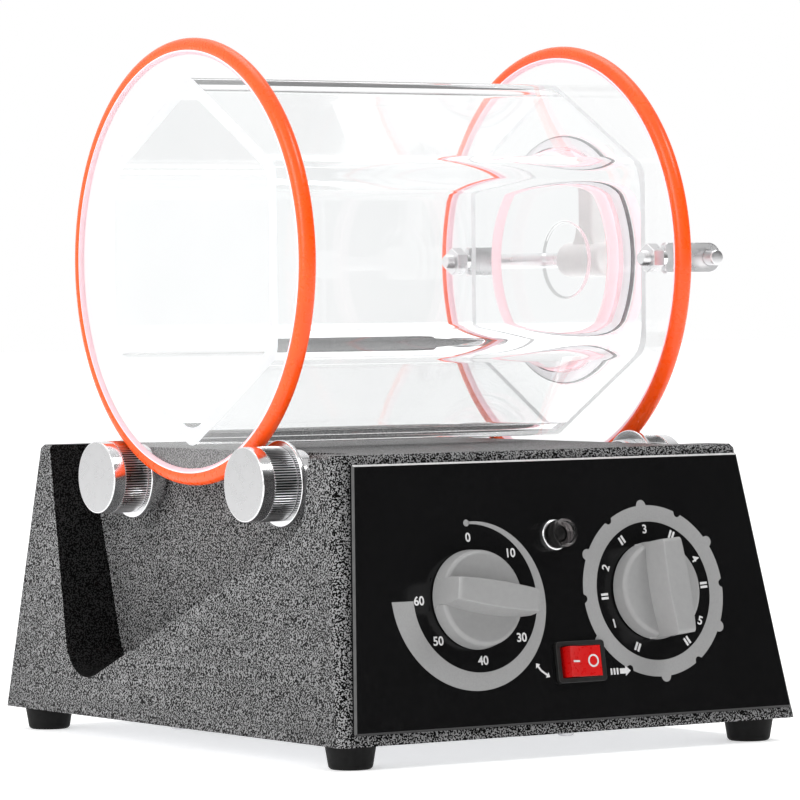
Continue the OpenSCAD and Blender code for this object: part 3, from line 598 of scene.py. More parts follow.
def build_panel():
    """Gloss plate with a wide chamfer, cut out for the knobs' shafts, the lamp and the switch."""
    chamfer = 1.3 * MM
    inverse = on_front(timer_at).inverted()
    points = [inverse @ v.co for v in frame["nodes"]["control_panel"].data.vertices]
    low = min(p.y for p in points)
    high = max(p.y for p in points)
    front = max(p.z for p in points)
    rims = []
    for level in (low, high):
        row = [p.x for p in points if abs(p.y - level) < 0.05 * MM]
        rims.append((min(row), max(row)))
    corners = [(rims[0][0], low), (rims[0][1], low), (rims[1][1], high), (rims[1][0], high)]
    bm = bmesh.new()
    outline = fillet(corners, [0.8 * MM] * 4, 4)
    prism(bm, outline, 0.02 * MM, front, on_front(timer_at), chamfer, 1, 0.2 * MM)
    holes = []
    for at in (timer_at, speed_at):
        holes.append(cutter(circle(5.1 * MM, 48), -1 * MM, 4 * MM, on_front(at)))
    lamp = lamp_spot()
    holes.append(cutter(circle(4.5 * MM, 48, lamp.x, lamp.y), -1 * MM, 4 * MM, on_front(timer_at)))
    holes.append(cutter(rectangle(19.2 * MM, 12.8 * MM), -3 * MM, 4 * MM, on_front(rocker_at)))
    panel = combine(as_object("panel", bm), holes)
    replace_node("control_panel", panel)
    # the chamfer facing up gets a painted highlight in light grey, and the chamfer facing left painted shade in
    # dim grey
    second_finish(panel, top_chamfer_painted_highlight, lambda face, normal: normal.dot(front_up) > 0.5
                  and normal.dot(front_out) > 0.3)
    second_finish(panel, left_chamfer_painted_shade, lambda face, normal: normal.x < -0.5 and normal.dot(front_out) > 0.3)
    return front


def build_base_plate():
    refine("base_plate", 0.15 * MM, 2)


def build_feet():
    """Tapered rubber feet with a rounded tread and a recess for the screw."""
    for node in sorted(n for n in BODY_OF if n.startswith("foot_") and n != "foot_screws"):
        low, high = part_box(node)
        top_r = (high.x - low.x) / 2
        height = high.z - low.z
        tread_r = top_r - 1.5 * MM
        shape = [(2.2 * MM, 4 * MM), (4.2 * MM, 4 * MM), (4.2 * MM, 0), (tread_r, 0), (top_r, height),
                 (2.2 * MM, height)]
        bm = bmesh.new()
        lathe(bm, fillet(shape, [0, 0.3 * MM, 0.3 * MM, 1.6 * MM, 0.5 * MM, 0.2 * MM]),
              upright((low.x + high.x) / 2, (low.y + high.y) / 2, low.z), 64, closed=True)
        replace_node(node, as_object(node, bm))


def screw(name, place, shank_r, head_r, head_h, length):
    """A pan-head screw with a cross recess; local Z points from its head to its tip."""
    shape = [(0, 0), (head_r, 0), (head_r, head_h), (shank_r, head_h), (shank_r, length), (0, length)]
    bm = bmesh.new()
    lathe(bm, fillet(shape, [0, 0.45 * head_h, 0.1 * MM, 0.1 * MM, 0.3 * MM, 0], 5), place, 40)
    obj = as_object(name, bm)
    arm = head_r * 1.1
    blade = head_r * 0.26
    recess = [cutter(rectangle(arm, blade), -MM, 0.55 * head_h, place),
              cutter(rectangle(blade, arm), -MM, 0.55 * head_h, place)]
    return combine(obj, recess)


def merge(objects, name):
    """Joins several objects into one mesh object."""
    bm = bmesh.new()
    for obj in objects:
        bm.from_mesh(obj.data)
    for obj in objects:
        bpy.data.objects.remove(obj)
    return as_object(name, bm)


def hex_nut(bm, place, corner_r, low, high):
    """A hexagon nut with softened rims."""
    prism(bm, circle(corner_r, 6), low, high, place, 0.35 * MM, 2)


def island_places(node):
    """Middle of each separate solid of a CAD node, seen from above."""
    bm = bmesh.new()
    bm.from_mesh(frame["nodes"][node].data)
    bmesh.ops.remove_doubles(bm, verts=bm.verts, dist=2e-6)
    left = set(bm.verts)
    places = []
    while left:
        stack = [left.pop()]
        found = []
        while stack:
            vertex = stack.pop()
            found.append(vertex.co.copy())
            for edge in vertex.link_edges:
                other = edge.other_vert(vertex)
                if other in left:
                    left.remove(other)
                    stack.append(other)
        low = Vector(min(co[i] for co in found) for i in range(3))
        high = Vector(max(co[i] for co in found) for i in range(3))
        places.append((low, high))
    bm.free()
    return sorted(places, key=lambda pair: tuple(round(v, 5) for v in pair[0]))


def build_underside_screws():
    """Screws of the plate and the feet, seen from below."""
    plate = []
    for low, high in island_places("base_screws"):
        place = upright((low.x + high.x) / 2, (low.y + high.y) / 2, low.z)
        plate.append(screw("screw", place, 1.55 * MM, 3 * MM, 1.6 * MM, high.z - low.z))
    replace_node("base_screws", merge(plate, "plate_screws"))
    feet = []
    corners = {}
    for low, high in island_places("foot_screws"):
        key = (round((low.x + high.x) / 2, 4), round((low.y + high.y) / 2, 4))
        corners.setdefault(key, []).append((low.z, high.z))
    for (x, y), levels in sorted(corners.items()):
        head_z = min(level[0] for level in levels)
        tip_z = max(level[1] for level in levels)
        feet.append(screw("screw", upright(x, y, head_z), 2.05 * MM, 3.8 * MM, 2 * MM, tip_z - head_z))
        bm = bmesh.new()
        hex_nut(bm, upright(x, y, tip_z - 4.5 * MM), 4.04 * MM, 0, 3 * MM)
        feet.append(as_object("nut", bm))
    replace_node("foot_screws", merge(feet, "feet_screws"))


# ---- Controls ----------------------------------------------------------------

def knob_bar(bm, place, base_z, top_z, reach):
    """The grip bar of a knob: bowed in plan, with sloping flanks that flare into the skirt."""
    stations = 28
    corner = 0.9 * MM
    sections = []
    for station in range(stations + 1):
        t = -math.cos(math.pi * station / stations)
        y = reach * t
        crown = 4.9 * MM - 0.8 * MM * t * t
        foot = crown + 3.2 * MM - 1.2 * MM * t * t
        end = max(0.0, abs(t) - 0.93) / 0.07
        drop = 0.9 * MM * end * end
        top = top_z - drop
        half = [(foot, base_z), (foot - 0.7 * MM, base_z + 0.8 * MM), (foot - 1.6 * MM, base_z + 2.4 * MM),
                (crown + 0.75 * MM, base_z + 0.62 * (top - base_z)), (crown + 0.12 * MM, top - corner),
                (crown - 0.15 * MM, top - 0.35 * corner), (crown - corner, top)]
        mirrored = [(-x, z) for x, z in reversed(half)]
        sections.append([place @ Vector((x, y, z)) for x, z in half + mirrored])
    loft(bm, sections)


def build_knob(node, at, pointer, sheet_gap):
    """A round skirt with a flat face and a soft rim, and the bar fused into it."""
    skirt_r = 18.5 * MM
    skirt_h = 6.5 * MM
    top = 17.5 * MM
    place = on_front(at, out=sheet_gap, turn=pointer)
    bm = bmesh.new()
    shape = [(0, 0), (skirt_r, 0), (skirt_r - 0.9 * MM, skirt_h), (0, skirt_h - 0.1 * MM)]
    lathe(bm, fillet(shape, [0, 0.3 * MM, 1.9 * MM, 0], 7), place, 128)
    skirt = as_object(node, bm)
    bm = bmesh.new()
    knob_bar(bm, place, 1.5 * MM, top, 17.95 * MM)
    bar = as_object("bar", bm)
    knob = combine(skirt, [bar], "UNION", 28)
    bore = cutter(circle(7 * MM, 48), -1 * MM, 1.4 * MM, place)
    replace_node(node, combine(knob, [bore], sharp=28))


def build_lamp(panel_front):
    """A chrome ring, and a clear tube lens with a rim, a recessed face and a dark element inside."""
    spot = lamp_spot()
    place = on_front(timer_at, spot.x, spot.y)
    ring_top = panel_front + 1.3 * MM
    bm = bmesh.new()
    ring = [(3.65 * MM, panel_front - 4 * MM), (4.35 * MM, panel_front - 4 * MM), (4.35 * MM, panel_front),
            (5.8 * MM, panel_front), (5.8 * MM, ring_top), (3.65 * MM, ring_top)]
    lathe(bm, fillet(ring, [0, 0, 0, 0.1 * MM, 0.55 * MM, 0.2 * MM], 5), place, 72, closed=True)
    replace_node("lamp_bezel", as_object("ring", bm))
    lens_top = panel_front + 7.6 * MM
    bm = bmesh.new()
    lens = [(0, panel_front - 3 * MM), (3.6 * MM, panel_front - 3 * MM), (3.6 * MM, ring_top + 0.05 * MM),
            (5.3 * MM, ring_top + 0.05 * MM), (5.3 * MM, lens_top), (4.4 * MM, lens_top),
            (4.2 * MM, lens_top - 1 * MM), (0, lens_top - 1.6 * MM)]
    radii = [0, 0.2 * MM, 0.1 * MM, 0.2 * MM, 0.35 * MM, 0.35 * MM, 0.2 * MM, 0]
    lathe(bm, fillet(lens, radii, 4), place, 72)
    replace_node("lamp_lens", as_object("lens", bm))
    bm = bmesh.new()
    element_low = panel_front - 2.4 * MM
    element = [(0, element_low), (2.6 * MM, element_low), (2.6 * MM, lens_top - 4.6 * MM),
               (0, lens_top - 3.2 * MM)]
    lathe(bm, fillet(element, [0, 0.2 * MM, 1.6 * MM, 0], 6), place, 48)
    dress(as_object("lamp_element", bm), "base", "black_plastic")


def build_switch():
    """The black frame of the switch and its red rocker with a bar and a ring let into it."""
    refine("rocker_body", 0.45 * MM, 3)
    refine("rocker", 0.45 * MM, 3)
    tilt = 11
    half = 4.5 * MM
    rise = math.atan(8.6 * math.sin(math.radians(tilt)) / 8.1)
    face_z = 3.4 * MM + half * math.tan(rise)
    lift = 0.1 * MM
    marks = []
    for side in (-1, 1):
        # each half of the rocker slopes up from its pin, and the whole rocker lies tilted
        across = Matrix.Rotation(math.radians(tilt), 4, "Y")
        slope = Matrix.Rotation(-side * rise, 4, "Y")
        place = on_front(rocker_at) @ across @ Matrix.Translation((side * half, 0, face_z)) @ slope
        bm = bmesh.new()
        if side < 0:
            prism(bm, fillet(rectangle(4.4 * MM, 0.7 * MM), [0.3 * MM] * 4, 4), -0.2 * MM, lift, place)
        else:
            outline = [(1.75 * MM, -0.2 * MM), (2.4 * MM, -0.2 * MM), (2.4 * MM, lift), (1.75 * MM, lift)]
            lathe(bm, outline, place, 48, closed=True)
        marks.append(as_object("mark", bm))
    dress(merge(marks, "rocker_marks"), BODY_OF["rocker"], SLOT_OF["rocker"], mark_ink)


# ---- Printed scales ----------------------------------------------------------

INK_FILM = 0.05 * MM


def polar(centre, radius, clockwise):
    """A point at an angle clockwise from straight up."""
    angle = math.radians(clockwise)
    return Vector((centre[0] + radius * math.sin(angle), centre[1] + radius * math.cos(angle)))


def printed(bm, outline, at, panel_front):
    prism(bm, outline, panel_front - 0.05 * MM, panel_front + INK_FILM, on_front(at))


def build_timer_scale(panel_front):
    """A crescent that widens clockwise from a dot over the knob to the end of the hour."""
    centre = (1.0 * MM, 0.6 * MM)
    inner_r = 27.4 * MM
    end = 270
    steps = 90
    inner = []
    outer = []
    for step in range(steps + 1):
        angle = end * step / steps
        width = 0.9 * MM + 8.6 * MM * step / steps
        inner.append(polar(centre, inner_r, angle))
        outer.append(polar(centre, inner_r + width, angle))
    bm = bmesh.new()
    printed(bm, inner + outer[::-1], timer_at, panel_front)
    dot = polar(centre, inner_r + 0.45 * MM, -1.5)
    printed(bm, circle(1.25 * MM, 32, dot.x, dot.y), timer_at, panel_front)
    dress(as_object("timer_scale", bm), "base", "panel_black", ring_ink)


def build_speed_ring(panel_front):
    """A ring with a round bump at each speed and a notch at each pause between them."""
    centre = (0.7 * MM, 0.0)
    outer_r = 32.4 * MM
    inner_r = 26.2 * MM
    bump_r = 2.1 * MM
    notch_r = 1.5 * MM
    sixth = 60
    steps = 720
    outline = []
    for step in range(steps):
        angle = 360 * step / steps
        to_bump = math.radians((angle - 357 + sixth / 2) % sixth - sixth / 2) * outer_r
        to_notch = math.radians((angle - 357) % sixth - sixth / 2) * outer_r
        radius = outer_r
        if abs(to_bump) < bump_r:
            radius += math.sqrt(bump_r ** 2 - to_bump ** 2)
        if abs(to_notch) < notch_r:
            radius -= math.sqrt(notch_r ** 2 - to_notch ** 2)
        outline.append(polar(centre, radius, angle))
    inner = [polar(centre, inner_r, 360 * step / steps) for step in range(steps)]
    place = on_front(speed_at)
    bm = bmesh.new()
    rings = []
    for points, level in ((inner, -INK_FILM), (outline, -INK_FILM), (outline, INK_FILM), (inner, INK_FILM)):
        rings.append([bm.verts.new(place @ Vector((p.x, p.y, panel_front + level))) for p in points])
    for lower, upper in zip(rings, rings[1:] + rings[:1]):
        bridge(bm, lower, upper)
    dress(as_object("speed_ring", bm), "base", "panel_black", ring_ink)


def digits(text, size, place):
    """A number as a thin solid, centred on its place."""
    curve = bpy.data.curves.new("digits", "FONT")
    curve.body = text
    curve.size = size
    curve.extrude = INK_FILM
    curve.offset = 0.02 * size
    curve.align_x = "CENTER"
    curve.align_y = "CENTER"
    obj = bpy.data.objects.new("digits", curve)
    bpy.context.scene.collection.objects.link(obj)
    graph = bpy.context.evaluated_depsgraph_get()
    mesh = bpy.data.meshes.new_from_object(obj.evaluated_get(graph))
    bpy.data.objects.remove(obj)
    mesh.transform(place)
    bm = bmesh.new()
    bm.from_mesh(mesh)
    bmesh.ops.remove_doubles(bm, verts=bm.verts, dist=1e-6)
    return as_object("digits", bm)


def build_numbers(panel_front):
    """Dial numbers round both knobs, and two short bars for each pause of the speed dial."""
    size = 4.6 * MM
    pieces = []
    for text, angle, radius in (("0", 356, 23), ("10", 45, 23.4), ("20", 88, 23.4), ("30", 130, 23.2),
                                ("40", 181, 22.6), ("50", 233, 24.2), ("60", 271, 26)):
        spot = polar((2.0 * MM, 0), radius * MM, angle)
        pieces.append(digits(text, size, on_front(timer_at, spot.x, spot.y, panel_front)))
    for text, angle, turn in (("1", 240, -12), ("2", 294, -66), ("3", 356, 0), ("4", 61, 61), ("5", 122, 20)):
        spot = polar((1.2 * MM, 0), 23.3 * MM, angle)
        pieces.append(digits(text, size, on_front(speed_at, spot.x, spot.y, panel_front, turn)))
    bm = bmesh.new()
    for angle in range(27, 360, 60):
        for side in (-0.8, 0.8):
            spot = polar((1.2 * MM, 0), 23.3 * MM, angle + side * 2.2)
            place = on_front(speed_at, spot.x, spot.y, panel_front, angle)
            prism(bm, rectangle(0.9 * MM, 3.2 * MM), -INK_FILM, INK_FILM, place)
    pieces.append(as_object("bars", bm))
    dress(merge(pieces, "panel_numbers"), "base", "panel_black", mark_ink)


def arrow_outline(length, head, width):
    return [(0, -width / 2), (length - head, -width / 2), (length - head, -head * 0.8), (length, 0),
            (length - head, head * 0.8), (length - head, width / 2), (0, width / 2)]


def build_arrows(panel_front):
    """A barred arrow towards the speed dial and a small bent arrow towards the timer."""
    bm = bmesh.new()
    row = on_front(rocker_at, 14.3 * MM, -4.4 * MM, panel_front - 0.5 * MM)
    for bar in range(3):
        place = row @ Matrix.Translation((bar * 1.4 * MM, 0, 0))
        prism(bm, rectangle(0.8 * MM, 2.4 * MM), -INK_FILM, INK_FILM, place)
    prism(bm, arrow_outline(5 * MM, 2.4 * MM, 2.0 * MM), -INK_FILM, INK_FILM,
          row @ Matrix.Translation((3.9 * MM, 0, 0)))
    bend = on_front(rocker_at, -17.6 * MM, -2.4 * MM, panel_front - 0.5 * MM)
    for turn, length in ((125, 3.4), (-35, 4.6)):
        prism(bm, arrow_outline(length * MM, 1.5 * MM, 0.7 * MM), -INK_FILM, INK_FILM,
              bend @ Matrix.Rotation(math.radians(turn), 4, "Z"))
    dress(as_object("panel_arrows", bm), "base", "panel_black", mark_ink)


# ---- Rollers -----------------------------------------------------------------

def build_wheel(node):
    """A turned roller: boss, inner rim, finely toothed band and smooth cap."""
    low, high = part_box(node)
    centre = middle(node)
    facing = 1 if centre.x > drum_axis.x else -1
    length = high.x - low.x
    tyre = middle("right_tyre" if facing > 0 else "left_tyre").x
    foot_x = low.x if facing > 0 else high.x
    band_mid = abs(tyre - foot_x)
    band = 8.5 * MM
    rim_w = 2 * MM
    rim_r = (high.z - low.z) / 2
    band_r = 14 * MM
    boss_r = 12.5 * MM
    start = band_mid - band / 2
    end = band_mid + band / 2 + 1.8 * MM
    tooth = 0.7 * MM
    teeth = 84
    per_tooth = 4
    cap_edge = 0.5 * MM
    body = fillet([(boss_r, start - rim_w), (rim_r, start - rim_w), (rim_r, start), (band_r - tooth, start)],
                  [0.3 * MM, 0.5 * MM, 0.5 * MM, 0], 3)
    smooth_start = [(0, 0), (boss_r - 0.5 * MM, 0), (boss_r, 0.5 * MM)] + [tuple(p) for p in body]
    knurled = [(band_r, start + 0.35 * MM), (band_r, end - 0.35 * MM)]
    smooth_end = [(band_r - tooth, end)]
    cap = fillet([(band_r - tooth, end + 0.1 * MM), (band_r, end + 0.1 * MM), (band_r, length), (0, length)],
                 [0, 0.15 * MM, cap_edge, 0], 3)
    outline = smooth_start + knurled + smooth_end + [tuple(p) for p in cap]
    first = len(smooth_start)

    def wave(point, step):
        if not first <= point < first + len(knurled):
            return 0.0
        return tooth * 0.5 * (1 - math.cos(FULL_TURN * step / per_tooth))

    bm = bmesh.new()
    place = along_x(foot_x, centre.y, centre.z, facing)
    lathe(bm, outline, place, teeth * per_tooth, wave)
    wheel = replace_node(node, as_object(node, bm, 40))
    # the cap's flat face has a satin finish of its own
    tip = place @ Vector((0, 0, length))
    second_finish(wheel, cap_plating, lambda face, normal: abs(face.x - tip.x) < 0.02 * MM)
    teeth_at = place @ Vector((0, 0, (start + end) / 2))
    second_finish(wheel, knurl_plating, lambda face, normal: abs(face.x - teeth_at.x) < 0.3 * band)
    valley_r = band_r - 0.5 * tooth
    second_finish(wheel, knurl_shadow, lambda face, normal: abs(face.x - teeth_at.x) < 0.3 * band
                  and math.hypot(face.y - centre.y, face.z - centre.z) < valley_r)


# ---- Drum --------------------------------------------------------------------

AIR_GAP = 0.04 * MM      # between clear pieces that are glued or clamped face to face


def build_barrel():
    """Six-sided clear tube with rounded corners, inside and out."""
    low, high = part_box("barrel")
    wall = 5 * MM
    flat = 61.5 * MM
    bm = bmesh.new()
    place = along_x(0, drum_axis.y, drum_axis.z)
    rings = []
    for reach, radius in ((flat, 8 * MM), (flat - wall, 14 * MM)):
        tip = reach / math.cos(math.pi / 6)
        corners = [(tip * math.sin(k * math.pi / 3), tip * math.cos(k * math.pi / 3)) for k in range(6)]
        outline = fillet(corners, [radius] * 6, 10)
        ends = []
        for x in (low.x + AIR_GAP, high.x - AIR_GAP):
            ends.append([bm.verts.new(place @ Vector((p.x, p.y, x))) for p in outline])
        rings.append(ends)
    (outer_left, outer_right), (inner_left, inner_right) = rings
    for lower, upper in ((outer_left, outer_right), (outer_right, inner_right), (inner_right, inner_left),
                         (inner_left, outer_left)):
        bridge(bm, lower, upper)
    tube = replace_node("barrel", as_object("barrel", bm))
    # the glued end faces are frosted and carry a painted glow
    second_finish(tube, glued_acrylic_painted_glow, lambda face, normal: abs(normal.x) > 0.9)


def groove(tyre_centre_r, tyre_half, thickness, play):
    """The flange's rim in half section, from its lower to its upper face, hollowed for the tyre."""
    radius = tyre_half + play
    edge = thickness / 2 - 0.12 * MM
    reach = math.asin(edge / radius)
    points = []
    steps = 20
    for step in range(steps + 1):
        angle = math.pi - reach + 2 * reach * step / steps
        points.append((tyre_centre_r + radius * math.cos(angle), -radius * math.sin(angle)))
    return points


def build_flange(node, tyre, mouth_r=0.0):
    """A round clear disc whose rim is hollowed for the tyre; the right one has a mouth and two stud holes."""
    low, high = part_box(node)
    centre = middle(node)
    thickness = high.x - low.x
    tyre_low, tyre_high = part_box(tyre)
    tyre_half = (tyre_high.x - tyre_low.x) / 2
    tyre_centre_r = (tyre_high.z - tyre_low.z) / 2 - tyre_half
    rim = groove(tyre_centre_r, tyre_half, thickness, 0.05 * MM)
    lip_r = rim[0][0]
    half = thickness / 2
    edge = 0.4 * MM
    if mouth_r:
        start = [(mouth_r, half - edge), (mouth_r, edge - half), (mouth_r + edge, -half)]
        end = [(mouth_r + edge, half)]
    else:
        start = [(0, -half)]
        end = [(0, half)]
    outline = start + [(lip_r - 0.5 * MM, -half)] + rim + [(lip_r - 0.5 * MM, half)] + end
    bm = bmesh.new()
    place = along_x(centre.x, drum_axis.y, drum_axis.z)
    lathe(bm, outline, place, 192, closed=bool(mouth_r))
    flange = as_object(node, bm)
    if mouth_r:
        holes = []
        for link_node in ("link_front", "link_rear"):
            y = middle(link_node).y
            holes.append(cutter(circle(3.15 * MM, 32), -10 * MM, 10 * MM, along_x(centre.x, y, drum_axis.z)))
        combine(flange, holes)
    replace_node(node, flange)
    groove_r = tyre_centre_r - tyre_half - 0.5 * MM
    inside = half - 0.01 * MM
    second_finish(flange, blushed_acrylic_painted_tyre_glow, lambda face, normal: from_axis(face) > groove_r
                  and abs(face.x - centre.x) < inside)
    second_finish(flange, turned_acrylic_painted_glow, lambda face, normal: from_axis(face) < mouth_r + 0.05 * MM
                  and abs(normal.x) < 0.9)


def build_tyre(node):
    """Round cord in the flange's groove."""
    low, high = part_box(node)
    half = (high.x - low.x) / 2
    outer_r = (high.z - low.z) / 2 - 0.02 * MM
    steps = 180
    around = 28
    bm = bmesh.new()
    outline = []
    for k in range(around):
        angle = FULL_TURN * k / around
        outline.append((outer_r - half + half * math.cos(angle), half * math.sin(angle)))
    lathe(bm, outline, along_x(middle(node).x, drum_axis.y, drum_axis.z), steps, closed=True)
    replace_node(node, as_object(node, bm))


def build_lid():
    """Clear plug and disc with a raised pad, over a dark seal."""
    low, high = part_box("lid")
    seal_low, seal_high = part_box("lid_gasket")
    disc_r = (high.z - low.z) / 2
    plug_r = 40.5 * MM
    pad_r = 15 * MM
    disc_x = seal_high.x + AIR_GAP
    disc_end = disc_x + 5 * MM
    shape = [(0, low.x), (plug_r, low.x), (plug_r, disc_x), (disc_r, disc_x), (disc_r, disc_end),
             (pad_r, disc_end), (pad_r, high.x), (0, high.x)]
    bm = bmesh.new()
    place = along_x(0, drum_axis.y, drum_axis.z)
    radii = [0, 1.2 * MM, 0.3 * MM, 0.8 * MM, 0.8 * MM, 0.8 * MM, 0.6 * MM, 0]
    lathe(bm, fillet(shape, radii, 4), place, 160)
    lid = replace_node("lid", as_object("lid", bm))
    second_finish(lid, turned_acrylic_painted_glow, lambda face, normal: abs(normal.x) < 0.9)
    second_finish(lid, polished_side, lambda face, normal: abs(normal.x) < 0.9
                  and from_axis(face) < pad_r + MM)
    inner_r = plug_r + 0.05 * MM
    seal_r = (seal_high.z - seal_low.z) / 2
    shape = [(inner_r, seal_low.x), (seal_r, seal_low.x), (seal_r, seal_high.x), (inner_r, seal_high.x)]
    bm = bmesh.new()
    lathe(bm, fillet(shape, [0.2 * MM, 0.8 * MM, 0.8 * MM, 0.2 * MM], 5), place, 160, closed=True)
    seal = replace_node("lid_gasket", as_object("seal", bm))
    # the seal's flat faces are pale and glow, painted light
    second_finish(seal, seal_face_painted_glow, lambda face, normal: abs(normal.x) > 0.9)


def threaded_stud(bm, place, radius, low, high):
    """A stud with a fine rolled thread drawn as close ridges."""
    pitch = 1.0 * MM
    outline = [(0, low), (radius - 0.6 * MM, low)]
    turns = int((high - low) / pitch)
    for turn in range(turns):
        base = low + 0.3 * MM + turn * pitch
        outline.append((radius - 0.35 * MM, base))
        outline.append((radius, base + 0.5 * pitch))
    outline.append((radius - 0.35 * MM, low + 0.3 * MM + turns * pitch))
    outline.append((radius - 0.35 * MM, high))
    outline.append((0, high))
    lathe(bm, outline, place, 32)


def build_links():
    """Eye plates with rounded edges on threaded studs, and their nuts inside the flange."""
    flange_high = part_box("right_flange")[1]
    rod = middle("clamp_rod")
    thick = 3 * MM
    for node in ("link_front", "link_rear"):
        low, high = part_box(node)
        y = middle(node).y
        tall = high.z - low.z
        start = flange_high.x + 0.02 * MM
        eye_r = tall / 2 - 0.02 * MM
        outline = [(start, -eye_r + 1 * MM), (start + 1 * MM, -eye_r)]
        for step in range(25):
            angle = -math.pi / 2 + math.pi * step / 24
            outline.append((rod.x + eye_r * math.cos(angle), eye_r * math.sin(angle)))
        outline += [(start + 1 * MM, eye_r), (start, eye_r - 1 * MM)]
        place = basis(Vector((0, y, rod.z)), (1, 0, 0), (0, 0, 1), (0, -1, 0))
        bm = bmesh.new()
        prism(bm, outline, -thick / 2, thick / 2, place, 0.5 * MM, 3)
        plate = as_object("plate", bm)
        hole = cutter(circle(3.1 * MM, 48, rod.x, 0), -5 * MM, 5 * MM, place)
        combine(plate, [hole])
        bm = bmesh.new()
        threaded_stud(bm, along_x(0, y, rod.z), 3 * MM, low.x, start - 0.02 * MM)
        replace_node(node, merge([plate, as_object("stud", bm)], node), satin_chrome)
    bm = bmesh.new()
    low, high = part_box("link_nuts")
    for node in ("link_front", "link_rear"):
        place = along_x(0, middle(node).y, rod.z) @ Matrix.Rotation(math.pi / 2, 4, "Z")
        hex_nut(bm, place, (high.z - low.z) / 2, low.x, high.x)
    replace_node("link_nuts", as_object("nuts", bm), satin_chrome)


def build_rod():
    """Polished cross rod with a chamfered tip and a flat head."""
    low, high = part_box("clamp_rod")
    centre = middle("clamp_rod")
    radius = 3 * MM
    head_r = (high.z - low.z) / 2
    shape = [(0, low.y), (radius, low.y), (radius, high.y - 2.5 * MM), (head_r, high.y - 2.5 * MM),
             (head_r, high.y), (0, high.y)]
    bm = bmesh.new()
    radii = [0, 0.6 * MM, 0.1 * MM, 0.3 * MM, 0.6 * MM, 0]
    lathe(bm, fillet(shape, radii, 4), along_y(centre.x, 0, centre.z), 48)
    replace_node("clamp_rod", as_object("rod", bm), satin_chrome)


def build_lever():
    """White cam lever: a round hub on the rod, and a flat handle that flares into it."""
    low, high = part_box("cam_lever")
    axle = Vector(JOINTS["cam_lever_turn"]["pos_m"])
    hub_r = 7 * MM
    hub_half = (high.y - low.y) / 2
    hub_y = (low.y + high.y) / 2
    hub_x = low.x + hub_r
    bm = bmesh.new()
    shape = [(0, -hub_half), (hub_r, -hub_half), (hub_r, hub_half), (0, hub_half)]
    lathe(bm, fillet(shape, [0, 1.2 * MM, 1.2 * MM, 0], 5), along_y(hub_x, hub_y, axle.z), 64)
    hub = as_object("hub", bm)
    thick = 7 * MM
    face_x = hub_x - thick / 2
    sections = []
    levels = 22
    for level in range(levels + 1):
        t = level / levels
        z = -2 * MM + (high.z - axle.z + 2 * MM) * t
        flare = max(0.0, 1 - (z - 4 * MM) / (10 * MM)) if z > 4 * MM else 1.0
        width = 4.5 * MM + 4 * MM * flare ** 2
        close = max(0.0, t - 0.92) / 0.08
        inset = 1.6 * MM * (1 - math.sqrt(max(0.0, 1 - close * close)))
        half = width - inset
        corners = [(inset, -half), (thick - inset, -half), (thick - inset, half), (inset, half)]
        outline = fillet(corners, [max(1.4 * MM - inset * 0.5, 0.3 * MM)] * 4, 4)
        sections.append([Vector((face_x + p.x, hub_y + p.y, axle.z + z)) for p in outline])
    bm = bmesh.new()
    loft(bm, sections)
    combine(hub, [as_object("handle", bm)], "UNION", 30)
    bore = cutter(circle(3.05 * MM, 40), -20 * MM, 20 * MM, along_y(axle.x, hub_y, axle.z))
    replace_node("cam_lever", combine(hub, [bore], sharp=30))


# ---- Back and inside ---------------------------------------------------------

def build_inlet():
    """Mains inlet with its blades, held by two screws on the sloping back."""
    refine("power_inlet", 0.5 * MM, 3)
    refine("inlet_pins", 0.4 * MM, 3)
    across = Vector((1, 0, 0))
    mesh = frame["nodes"]["power_inlet"].data
    # the largest face that looks backwards gives the lean of the back
    outward = max((p for p in mesh.polygons if p.normal.y > 0.9), key=lambda p: p.area).normal.copy()
    up = across.cross(outward)
    face = max(v.co.dot(outward) for v in mesh.vertices)
    heights = [v.co.dot(up) for v in mesh.vertices]
    level = (min(heights) + max(heights)) / 2
    screws = []
    for side in (-1, 1):
        x = middle("inlet_pins").x + side * 20 * MM
        head = across * x + outward * (face + 1.3 * MM) + up * level
        place = basis(head, across, up, -outward)
        screws.append(screw("screw", place, 1.5 * MM, 2.9 * MM, 1.6 * MM, 7 * MM))
    dress(merge(screws, "inlet_screws"), "base", "screw_steel")


def build_inside():
    """Machinery inside the base: rounded castings and bodies, finished like the rest."""
    for node, edge in (("timer_unit", 1.2), ("speed_switch", 0.6), ("transformer_core", 0.4),
                       ("transformer_coil", 2.0), ("motor_body", 1.2), ("motor_gearbox", 1.5),
                       ("motor_bracket", 0.4), ("motor_pulley", 0.25), ("drive_pulley", 0.25),
                       ("drive_shaft", 0.5), ("idler_shaft", 0.5), ("motor_shaft", 0.4),
                       ("drive_collars", 0.4), ("idler_collars", 0.4)):
        refine(node, edge * MM, 2)


def second_finish(obj, material, belongs):
    """Gives the faces that belongs(middle, normal) picks a second material."""
    obj.data.materials.append(material)
    slot = len(obj.data.materials) - 1
    for polygon in obj.data.polygons:
        if belongs(polygon.center, polygon.normal):
            polygon.material_index = slot


def from_axis(point):
    """Distance of a point from the drum's axis."""
    return math.hypot(point.y - drum_axis.y, point.z - drum_axis.z)


def finish_cad_nodes():
    """Gives every CAD node that still shows its procedural finish."""
    for node, obj in frame["nodes"].items():
        if not obj.hide_render:
            obj.data.materials.clear()
            obj.data.materials.append(finishes[SLOT_OF[node]])


# ---- Stage -------------------------------------------------------------------

